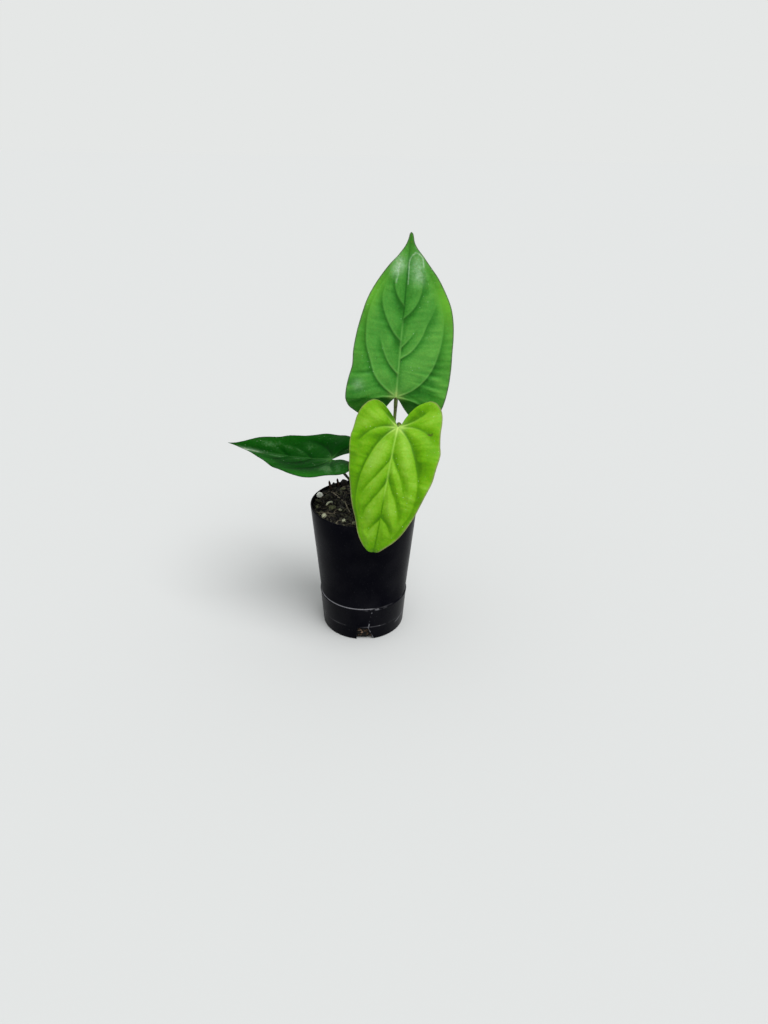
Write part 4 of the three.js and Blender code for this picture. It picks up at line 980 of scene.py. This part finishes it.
def living_leaf(name, tones, tissue, gloss, specular):
    """Leaf tissue: waxy and satin. Painted shade deepens the green beside the veins, in the ripple troughs
    and on lobes turned back, and painted light lifts it on the other side of the veins and on the panels. The
    green pales along the veins and at the joint, yellows towards the margin, browns on its very edge, and is
    dull below."""
    material, tree, place = new_material(name)
    flat = add(tree, "ShaderNodeUVMap", uv_map="flat")
    mark = {key: add(tree, "ShaderNodeAttribute", attribute_name=key).outputs["Fac"]
            for key in ("tone", "vein", "ridge", "joint", "margin", "film", "spot", "edge_band", "shade",
                        "under")}
    clouds = add(tree, "ShaderNodeTexNoise", {
        "Vector": place, "Scale": marks_a_metre(14.29), "Detail": 3.0})
    mottle = add(tree, "ShaderNodeTexNoise", {
        "Vector": place, "Scale": marks_a_metre(1.923), "Detail": 3.0, "Roughness": 0.6})
    net = add(tree, "ShaderNodeTexVoronoi", {"Vector": flat, "Scale": UV_SPAN / NET_CELL},
              feature="DISTANCE_TO_EDGE")
    mesh = add(tree, "ShaderNodeMapRange", {"Value": net, "From Max": 0.14, "To Min": 1.0, "To Max": 0.0})
    tone = add(tree, "ShaderNodeMath", {0: clouds, 1: 0.4, 2: mark["tone"]}, operation="MULTIPLY_ADD")
    tone = add(tree, "ShaderNodeMath", {0: mottle, 1: 0.36, 2: tone}, operation="MULTIPLY_ADD")
    tone = add(tree, "ShaderNodeMath", {0: mesh, 1: -0.07, 2: tone}, operation="MULTIPLY_ADD")
    tone = add(tree, "ShaderNodeMath", {0: tone, 1: 0.36}, operation="SUBTRACT", use_clamp=True)
    colour = add(tree, "ShaderNodeValToRGB", {"Fac": tone})
    stops = colour.color_ramp.elements
    stops[0].color, stops[1].color = linear(tones[0]), linear(tones[3])
    stops.new(0.35).color, stops.new(0.62).color = linear(tones[1]), linear(tones[2])
    near_joint = add(tree, "ShaderNodeMath", {0: mark["vein"], 1: mark["joint"]}, operation="MULTIPLY")
    beads = add(tree, "ShaderNodeTexVoronoi", {"Vector": place, "Scale": marks_a_metre(3.03)})
    drops = add(tree, "ShaderNodeMapRange", {
        "Value": beads, "From Min": 0.06, "From Max": 0.12, "To Min": 1.0, "To Max": 0.0})
    wet = add(tree, "ShaderNodeMapRange", {"Value": clouds, "From Min": 0.5, "From Max": 0.6})
    specks = add(tree, "ShaderNodeMath", {0: drops, 1: wet}, operation="MULTIPLY")
    veil = add(tree, "ShaderNodeMapRange", {
        "Value": mottle, "From Min": 0.3, "From Max": 0.65, "To Min": 0.35})
    filmed = add(tree, "ShaderNodeMath", {0: mark["film"], 1: veil}, operation="MULTIPLY")
    layers = (
        (mark["edge_band"], 1.0, tissue["edge"]), (mark["vein"], 0.6, tissue["vein"]),
        (near_joint, 1.0, tissue["joint"]), (mark["joint"], 0.5, tissue["joint"]),
        # The shade mark is painted shade on the lobes turned back near the joint
        (mark["shade"], 1.0, tissue["shade"]), (mark["margin"], 0.85, tissue["margin"]),
        (filmed, 1.0, tissue["film"]), (specks, 0.5, tissue["film"]), (mark["spot"], 1.0, "#3c3016"),
    )
    for factor, strength, shade in layers:
        factor = add(tree, "ShaderNodeMath", {0: factor, 1: strength}, operation="MULTIPLY", use_clamp=True)
        colour = add(tree, "ShaderNodeMix", {"Factor": factor, "A": colour, "B": linear(shade)},
                     data_type="RGBA")
    ribs = add(tree, "ShaderNodeMath", {0: mesh, 1: 0.25, 2: mark["ridge"]}, operation="MULTIPLY_ADD",
               use_clamp=True)
    below = add(tree, "ShaderNodeMix", {
        "Factor": ribs, "A": linear(tissue["under"]), "B": linear(tissue["under_rib"])}, data_type="RGBA")
    colour = add(tree, "ShaderNodeMix", {"Factor": mark["under"], "A": colour, "B": below}, data_type="RGBA")
    dull = add(tree, "ShaderNodeMath", {0: mark["under"], 1: 0.2, 2: filmed}, operation="MULTIPLY_ADD",
               use_clamp=True)
    waxy = add(tree, "ShaderNodeMath", {0: clouds, 1: 0.12, 2: gloss - 0.06}, operation="MULTIPLY_ADD")
    rough = add(tree, "ShaderNodeMath", {0: dull, 1: 0.5, 2: waxy}, operation="MULTIPLY_ADD", use_clamp=True)
    height = add(tree, "ShaderNodeMath", {0: mottle, 1: 0.3, 2: net}, operation="MULTIPLY_ADD")
    finish_material(tree, {
        "Base Color": colour, "Roughness": rough, "Specular IOR Level": specular, "Subsurface Weight": 0.12,
        "Subsurface Scale": 0.8 * MM}, height=height, strength=0.35, depth=0.3)
    return material


# Upright leaf
# The leaf that stands up, mid green and fully grown. Hard water has dried to a pale film by its
# tip, and its two lobes turn back behind it.
def upright_film(u, w):
    """An unbroken dried arch right of the midrib, a cloud inside it, and a patch with a run on the left."""
    arch_line = [(1.4, 81), (1.1, 89), (1.2, 98), (4.9, 102.5), (9.4, 100), (11.6, 93)]
    arch, _, _ = distance_to(curve_points(arch_line), u, w)
    run, _, _ = distance_to(curve_points([(-6.4, 92), (-6.6, 87), (-7.3, 81.5)]), u, w)
    drawn = 0.5 * np.exp(-(arch / 0.4) ** 2) + 0.4 * np.exp(-(run / 0.6) ** 2)
    return drawn + blots([((-6, 94), (3.6, 5.2), 0.62), ((-9, 89), (3, 3.6), 0.3), ((7, 94), (4.6, 8), 0.34),
                          ((9, 86), (4, 5), 0.32), ((-29, 7), (4, 4), 0.25)], u, w)


upright_leaf = {
    "joint": (23.87, 8, 195.45), "heading": 66, "pitch": 80, "roll": -16,
    "arcs": [(115, 8)], "back": (25, 10), "fold": (5, 5), "camber": 0, "length": 116.5, "side_sweep": 0,
    "puff": 0.9, "wave": 0.7, "waves": 5, "lobe_turn": 0.75, "crease": 0.5, "pale_rib": 0.4, "pale_veins": 60,
    "ripple": 1.0, "seed": 71, "tone": 0.52, "depth": 0.75, "film": upright_film, "spots": [],
    "streaks": [((-33, 8), (12, 15), 1.7), ((31, 12), (13, 18), 1.6)],
    # light: lighter and darker patches, painted light and shade on the panels, with some uneven colour of the
    # leaf's own
    "light": [((10, 26), (10, 24), 0.18), ((20, 44), (9, 18), 0.14), ((-14, 30), (7, 20), 0.06),
              ((0, 66), (6, 26), -0.18), ((-30, 2), (10, 13), -0.28), ((30, 0), (9, 12), -0.2),
              ((1, 109), (8, 9), -0.28), ((33, 58), (9, 26), 0.16), ((-10, 60), (6, 14), 0.08),
              ((-25, 70), (8, 18), 0.12), ((-3, 40), (3, 9), -0.22), ((14, 4), (10, 3), -0.3),
              ((24, 62), (5, 10), -0.12), ((28, 72), (7, 14), 0.14)],
    "edge": [((29, 70), (13, 17), 0.95), ((-27, 76), (14, 16), 0.7), ((-31, 0), (10, 16), -0.25)],
    "minus": {
        "phase": 0.4, "vein_fade": 0.6,
        "sinus": [(-3, -3), (-6.4, -8), (-9.8, -14.5), (-13.5, -20)],
        "margin": [(-18.5, -22.3), (-24.5, -20.6), (-31.2, -15.6), (-35.8, -10.9), (-37.9, -4), (-37.6, 4.8),
                   (-36.2, 13.3), (-34.6, 21), (-34.4, 31.6), (-32.6, 46.9), (-29.8, 59.4), (-25.5, 72.8),
                   (-19.3, 84.6), (-13, 93.7), (-8.2, 99.6), (-5, 104.2), (-2.6, 108.6), (-1.4, 112.6),
                   (-0.9, 115.4)],
        "veins": [
            [(0, 0), (-10, 7), (-17, 15), (-21, 25), (-25, 37), (-26, 48), (-25.5, 58), (-22.5, 69),
             (-18, 79), (-12, 89), (-7, 97)],
            [(0, 0), (-12, -1), (-22, -6), (-29, -13)],
            [(0, 17), (-7, 24), (-12, 33), (-16, 45)],
            [(0, 41), (-6, 47), (-11, 55), (-15, 64), (-16, 74), (-13, 84)],
            [(0, 66), (-5, 72), (-8, 80), (-8, 90)],
        ],
    },
    "plus": {
        "phase": 2.3, "vein_fade": 0.8,
        "sinus": [(2.8, -3), (6, -8.3), (9.6, -14), (13.6, -19.2)],
        "margin": [(19, -21.8), (25.5, -19.6), (31.4, -13), (35.4, -4.5), (37.2, 2.8), (38.4, 12.2),
                   (38.8, 24.9), (38.4, 35.6), (38, 47), (36.7, 57.4), (33.9, 67.5), (29.2, 76.6),
                   (22.8, 86.3), (16.6, 93.5), (10.5, 100.6), (5.6, 105.8), (3.2, 109.6), (2.2, 113.2),
                   (1.3, 115.6)],
        "veins": [
            [(0, 0), (10, 5), (18, 12), (24, 21), (28, 33), (30, 48), (29.5, 58), (27, 67), (23, 76),
             (18, 85), (12, 94), (7, 101)],
            [(0, 0), (13, -2), (24, -7), (31, -12)],
            [(0, 28), (8, 34), (14, 43), (18, 54), (22, 64), (23, 74)],
            [(0, 36), (6, 43), (11, 51)],
            [(0, 57), (6, 63), (10, 70), (12, 80), (11, 90)],
        ],
    },
}
# Fully grown tissue: an even mid green with a soft gloss
mid_green = living_leaf("mature_leaf_tissue", ("#175a06", "#2f761d", "#45892e", "#5f9f3d"), {
    "edge": "#5a9c22", "vein": "#74ad54", "joint": "#96b862", "margin": "#45483c", "shade": "#0a4408",
    "film": "#b5cdb0", "under": "#3f7a34", "under_rib": "#6f9d5a"}, 0.42, 0.16)
make_blade(upright_leaf, mid_green, "leaf_mid", "leaf_upright", "blade_upright")


# Front leaf
# The newest leaf, lime green and still soft. It hangs over the front of the pot, its veins are
# deeply pressed in, and its drawn-out tip curls under.
front_leaf = {
    "joint": (23.93, -25, 183.77), "heading": -112, "pitch": -50, "roll": -3,
    "arcs": [(60, 24), (31, 12), (12, 115)], "back": (25, -10), "fold": (-3, -3), "camber": 2, "length": 108,
    "side_sweep": 10, "puff": 1.5, "wave": 0.7, "waves": 6, "lobe_turn": 0, "crease": 0.7, "pale_rib": 0.42,
    "pale_veins": 16, "ripple": 1.0, "seed": 81, "tone": 0.47, "depth": 0.75, "film": lambda u, w: 0 * u,
    "spots": [((-24, 2), (1.5, 0.5), 1.2), ((-25.6, 1), (0.6, 0.8), 0.8)],
    "streaks": [((-26, 46), (7, 22), 1.5), ((31, 24), (6, 22), 0.9)],
    # light: lighter and darker patches, painted light and shade on the panels, with some uneven colour of the
    # leaf's own
    "light": [((-11, 28), (7, 22), 0.2), ((10, 26), (8, 24), 0.22), ((-28, 24), (6, 26), -0.26),
              ((-17, -12), (9, 8), 0.1), ((24, -8), (10, 10), 0.18), ((31, 34), (6, 26), -0.2),
              ((9, 76), (5, 12), 0.14), ((-4, 58), (6, 12), 0.1), ((4, 98), (12, 12), -0.42),
              ((24, 68), (5, 20), -0.25), ((-16, 62), (5, 14), -0.1), ((15, 8), (8, 3), -0.36),
              ((-9.5, -8.5), (3.5, 2.6), -0.3), ((-14, -13), (3.5, 2.6), -0.36),
              ((-18, -17.5), (3, 2.5), -0.26), ((8, -8.5), (3.5, 3), -0.3)],
    "edge": [((0, 40), (60, 70), 0.25)],
    "minus": {
        "phase": 0.4, "vein_fade": 0.6,
        "sinus": [(-1.9, -2.6), (-4, -6.8), (-6.9, -11.6), (-11, -16.8)],
        "margin": [(-15.6, -20.4), (-20, -22), (-24, -21.4), (-27.4, -18.2), (-29.6, -13.6), (-31, -7),
                   (-31.7, 1), (-32.7, 8.6), (-34.2, 14.6), (-34.2, 20), (-33.2, 27.6), (-31.5, 37.4),
                   (-28.4, 47), (-25, 55.8), (-21.4, 64.6), (-17.5, 72.4), (-13, 79.2), (-7.6, 85.2),
                   (-1.4, 90.4), (3.4, 95), (7.2, 100)],
        "veins": [
            [(0, 0), (-5.4, -2.6), (-11.9, -6.9), (-17, -11.5), (-21.2, -16.7)],
            [(0, 0), (-12, -1), (-20, 1), (-28, 6)],
            [(0, 0), (-9, 8), (-14, 16), (-19, 27), (-22, 40), (-22, 50), (-19.5, 60), (-15.5, 68),
             (-10.5, 76), (-4, 84), (1.5, 89)],
            [(-0.5, 22), (-5, 29.5), (-8.2, 35), (-11.1, 42.2), (-13, 50)],
            [(0.4, 37), (-4, 46.6), (-7.8, 54.1), (-10.1, 62.9), (-11.2, 70)],
            [(2, 67), (-3, 72), (-6, 80)],
        ],
    },
    "plus": {
        "phase": 2.3, "vein_fade": 0.6,
        "sinus": [(2.8, -4), (5.8, -7.8), (9.4, -11.6), (13.2, -15)],
        "margin": [(17, -17.6), (21.2, -19.3), (25.2, -19.3), (29.2, -17.2), (32.9, -12.5), (35.6, -5.4),
                   (36.2, 2.1), (36.6, 9), (36, 16), (34.8, 24.7), (33, 32.6), (31.3, 41.4), (29.4, 50.7),
                   (26.8, 59.8), (23.8, 70.8), (20.8, 80), (17.4, 88.3), (14.6, 94), (12.8, 99),
                   (11.6, 103.6)],
        "veins": [
            [(0, 0), (4.2, -3), (9.7, -7.5), (14.6, -11.6), (19.4, -14.4)],
            [(0, 0), (11, 0.5), (19, 3), (26, 9), (31, 15)],
            [(0, 0), (7, 6), (13, 14), (18, 24), (21, 33), (23, 42), (24, 53), (23, 62), (20.5, 72), (18, 81),
             (15, 89)],
            [(-0.5, 23.4), (5.2, 31.4), (11.2, 39.2), (17.2, 47), (20.4, 54)],
            [(0, 40), (6, 49), (11, 56), (15, 62), (17, 71)],
            [(2.4, 68), (7, 73), (12, 79)],
        ],
    },
}
# Young tissue: a bright yellow green that is still dull, with no wax on it yet
lime_green = living_leaf("young_leaf_tissue", ("#3d7000", "#5a9203", "#70a31c", "#8cb842"), {
    "edge": "#5f9806", "vein": "#9fc955", "joint": "#b0d068", "margin": "#7c7a52", "shade": "#3f7a06",
    "film": "#c9d8b0", "under": "#6f9a3c", "under_rib": "#93b85c"}, 0.46, 0.08)
make_blade(front_leaf, lime_green, "leaf_young", "leaf_front", "blade_front")


# Side leaf
# The oldest leaf, deep green and glossy. It reaches out level to the left, a little cupped, and
# its tip half folds along the midrib.
def side_tip_glare(u, w):
    """A painted highlight: a pale, duller patch along the near side of the tip with brighter spots in it,
    standing for glare on the glossy blade.
    """
    return blots([((-1.6, 72), (2.6, 11), 0.5), ((-2.2, 64), (1.5, 3), 0.55), ((-1.6, 71), (1.2, 3), 0.5)],
                 u, w)


side_leaf = {
    "joint": (-25.32, -5, 149.85), "heading": 158, "pitch": -8, "roll": 10,
    "arcs": [(95, -16)], "back": (25, 10), "fold": (6, 20), "camber": 0, "length": 90.5, "side_sweep": 2.4,
    "puff": 0.7, "wave": 0.3, "waves": 5, "lobe_turn": 0, "crease": 0.5, "pale_rib": 0.9, "pale_veins": 8,
    "ripple": 0.4, "streaks": [], "seed": 91, "tone": 0.36, "depth": 0.45, "film": side_tip_glare, "spots": [],
    # light: painted sheen on the near lobe, along the midrib and on the far half, and painted shade on the
    # far lobe
    "light": [((-16, -6), (8, 12), 0.42), ((-2.5, 38), (3.4, 30), 0.34), ((10, 28), (7, 18), 0.3),
              ((9, 56), (4, 12), 0.3), ((20, 2), (9, 12), -0.2), ((-12, 26), (7, 16), -0.16),
              ((20, 44), (6, 14), -0.1), ((-14, 48), (4, 10), 0.2)],
    "edge": [((-28, 8), (8, 20), 0.6), ((-16, 50), (8, 12), 0.3)],
    "minus": {
        "phase": 0.4, "vein_fade": 0.6,
        "sinus": [(-0.4, -3), (0.4, -8), (-0.6, -13), (-3.2, -17.8)],
        "margin": [(-9, -20.4), (-14, -21), (-18.4, -19.6), (-22, -15.8), (-24.6, -9.8), (-27, -4.6),
                   (-29.2, 0), (-30.4, 6), (-29.8, 15), (-28, 23.6), (-25.6, 31), (-21.8, 41),
                   (-15.4, 50.6), (-9.8, 59), (-5.2, 67.6), (-1.4, 75.2), (0.8, 81.2), (1.8, 86.2)],
        "veins": [
            [(0, 0), (-9, 5), (-15, 13), (-19, 24), (-20, 36)],
            [(0, 0), (-9, -3), (-17, -8), (-21, -11)],
            [(0.6, 16), (-6, 22), (-11, 31), (-13, 41)],
            [(0, 36), (-6, 43), (-9, 52)],
        ],
    },
    "plus": {
        "phase": 2.3, "vein_fade": 0.6,
        "sinus": [(3.4, -3.2), (6, -6.6), (8.2, -11), (9.8, -15.4)],
        "margin": [(13, -18.8), (17.4, -20.6), (21.4, -19), (24.8, -14.4), (28.2, -8), (30.8, -2), (31.6, 4),
                   (31.8, 10.6), (30.4, 17.2), (27.8, 24.8), (25, 32), (22.8, 38.5), (20.9, 44.9), (18.8, 50),
                   (17, 55.5), (15, 63), (12.9, 69.2), (9.8, 75.2), (6.8, 80.2), (4.2, 85.2)],
        "veins": [
            [(0, 0), (9, 5), (15, 12), (19, 22), (19.5, 33)],
            [(0, 0), (10, -3), (18, -9), (22, -12)],
            [(0.6, 18), (6, 24), (10, 32), (12.5, 41)],
            [(0, 38), (5, 44), (8.5, 52)],
        ],
    },
}
# Old tissue: a green near black, with the most wax. Its film colour is the painted glare by the tip, and its
# palest tone a painted sheen
deep_green = living_leaf("old_leaf_tissue", ("#002400", "#013301", "#0e3e0a", "#4a6e45"), {
    "edge": "#165e08", "vein": "#2c5a26", "joint": "#33602a", "margin": "#122a10", "shade": "#022802",
    "film": "#a5b9a0", "under": "#2a5a2a", "under_rib": "#4f7d48"}, 0.36, 0.02)
make_blade(side_leaf, deep_green, "leaf_old", "leaf_side", "blade_side")


# Leaf stalks
# Living green tissue, round and slender. Each widens into a sheath at its foot, swells into a knuckle
# and runs into the back of its blade, at the joint that the midrib starts from.
stalk = strand_tree("Leaf stalk", [
    (0, 1), (0.08, 0.85), (0.22, 0.6), (0.86, 0.58), (0.93, 0.7), (0.97, 0.68), (1, 0.25)])
PAST_JOINT = 0.4
BEHIND_BLADE = 0.4


def grow_stalk(key, leaf, tissue, foot_radius, path):
    """A stalk along its path and on to the back of its blade."""
    joint, _, face = midrib_frames(leaf, np.array([PAST_JOINT]))
    end = tuple(joint[0] - face[0] * BEHIND_BLADE)
    run_tree(f"stalk_{key}_living", stalk, path_carrier("stalk", curve_points(path + [end])), "stalk_tissue",
             [f"stalk_{key}"], Radius=foot_radius * MM, Wrinkle=0.00025, Steps=140, Sides=24, Finish=tissue)


# The young stalk is the greenest and waxiest. The old one is a darker green painted nearly black, painted
# shade for the shadow it stands in
upright_tissue = living_stalk("mature_stalk_tissue", ("#4b5a26", "#64763a", "#3c2a1e"), 0.42)
young_tissue = living_stalk("young_stalk_tissue", ("#4f6624", "#647f2e", "#3c281a"), 0.4)
old_tissue_painted_shade = living_stalk("old_stalk_tissue", ("#1e2410", "#2c341a", "#1a120c"), 0.45)
grow_stalk("upright", upright_leaf, upright_tissue, 2.2, [
    (1.2, 0.8, 113.5), (3.6, 2.2, 119.5), (8.6, 5, 133), (14.6, 7.4, 148), (20, 9.2, 162), (22.9, 10, 173),
    (23.7, 10.3, 184)])
grow_stalk("front", front_leaf, young_tissue, 2.2, [
    (1.4, -1.4, 117.5), (4.4, -3.4, 125), (10.4, -6.6, 141), (17.2, -10, 158), (22, -13.2, 172),
    (24, -16.2, 180.2), (24.8, -18.6, 183.8), (25.1, -21.6, 184.2)])
grow_stalk("side", side_leaf, old_tissue_painted_shade, 2.1, [
    (-1.8, 0.2, 110.6), (-3.6, 0, 116.4), (-8.2, -1, 126.4), (-14.6, -2.4, 135.8), (-20.4, -3.6, 142.6)])


# Setting
# A plain pale floor under a soft high light, seen from the photograph's viewing angle. The floor is
# a middling grey that the light lifts to the pale tone of the backdrop, so that no horizon shows.
FLOOR_REACH = 30000.0


def plain_floor(reach):
    """A square of matt floor that reaches so far to each side."""
    material, tree, _ = new_material("plain_pale_floor")
    finish_material(tree, {"Base Color": linear("#bebfbf"), "Roughness": 1.0, "Specular IOR Level": 0.0})
    corners = [(-reach, -reach, 0), (reach, -reach, 0), (reach, reach, 0), (-reach, reach, 0)]
    mesh = new_mesh("floor", corners, [], [(0, 1, 2, 3)])
    mesh.materials.append(material)
    placed("floor", mesh)


def soft_sun(heading, height, strength, spread):
    """A distant soft light. heading and height say where it stands, in degrees."""
    light = bpy.data.lights.new("high_soft_light", "SUN")
    light.energy = strength
    light.angle = math.radians(spread)
    lamp = placed("high_soft_light", light)
    lamp.matrix_world = (Matrix.Rotation(math.radians(heading + 90), 4, "Z")
                         @ Matrix.Rotation(math.radians(90 - height), 4, "X"))


plain_floor(FLOOR_REACH)
soft_sun(heading=-50, height=62, strength=2.6, spread=40)
world = bpy.data.worlds.new("pale_backdrop")
world.use_nodes = True
backdrop = world.node_tree.nodes["Background"].inputs
backdrop["Color"].default_value = linear("#e5e7e6")
backdrop["Strength"].default_value = 1.0
bpy.context.scene.world = world
bpy.context.scene.view_settings.view_transform = "Standard"

# The camera stands where the photograph was taken from, in millimetres from the pot's foot
CAMERA_AT = (-5.598, -485.002, 360.841)
CAMERA_RIGHT = (0.99921, -0.03535, 0.01808)
CAMERA_UP = (0.00071, 0.47127, 0.88199)
CAMERA_AHEAD = (0.03970, 0.88128, -0.47092)
lens = bpy.data.cameras.new("camera")
lens.lens = 24.0
lens.sensor_width = 36.0
lens.clip_start = 0.01
camera = placed("camera", lens)
camera.matrix_world = Matrix([
    (CAMERA_RIGHT[i], CAMERA_UP[i], -CAMERA_AHEAD[i], CAMERA_AT[i] * MM) for i in range(3)] + [(0, 0, 0, 1)])
bpy.context.scene.camera = camera
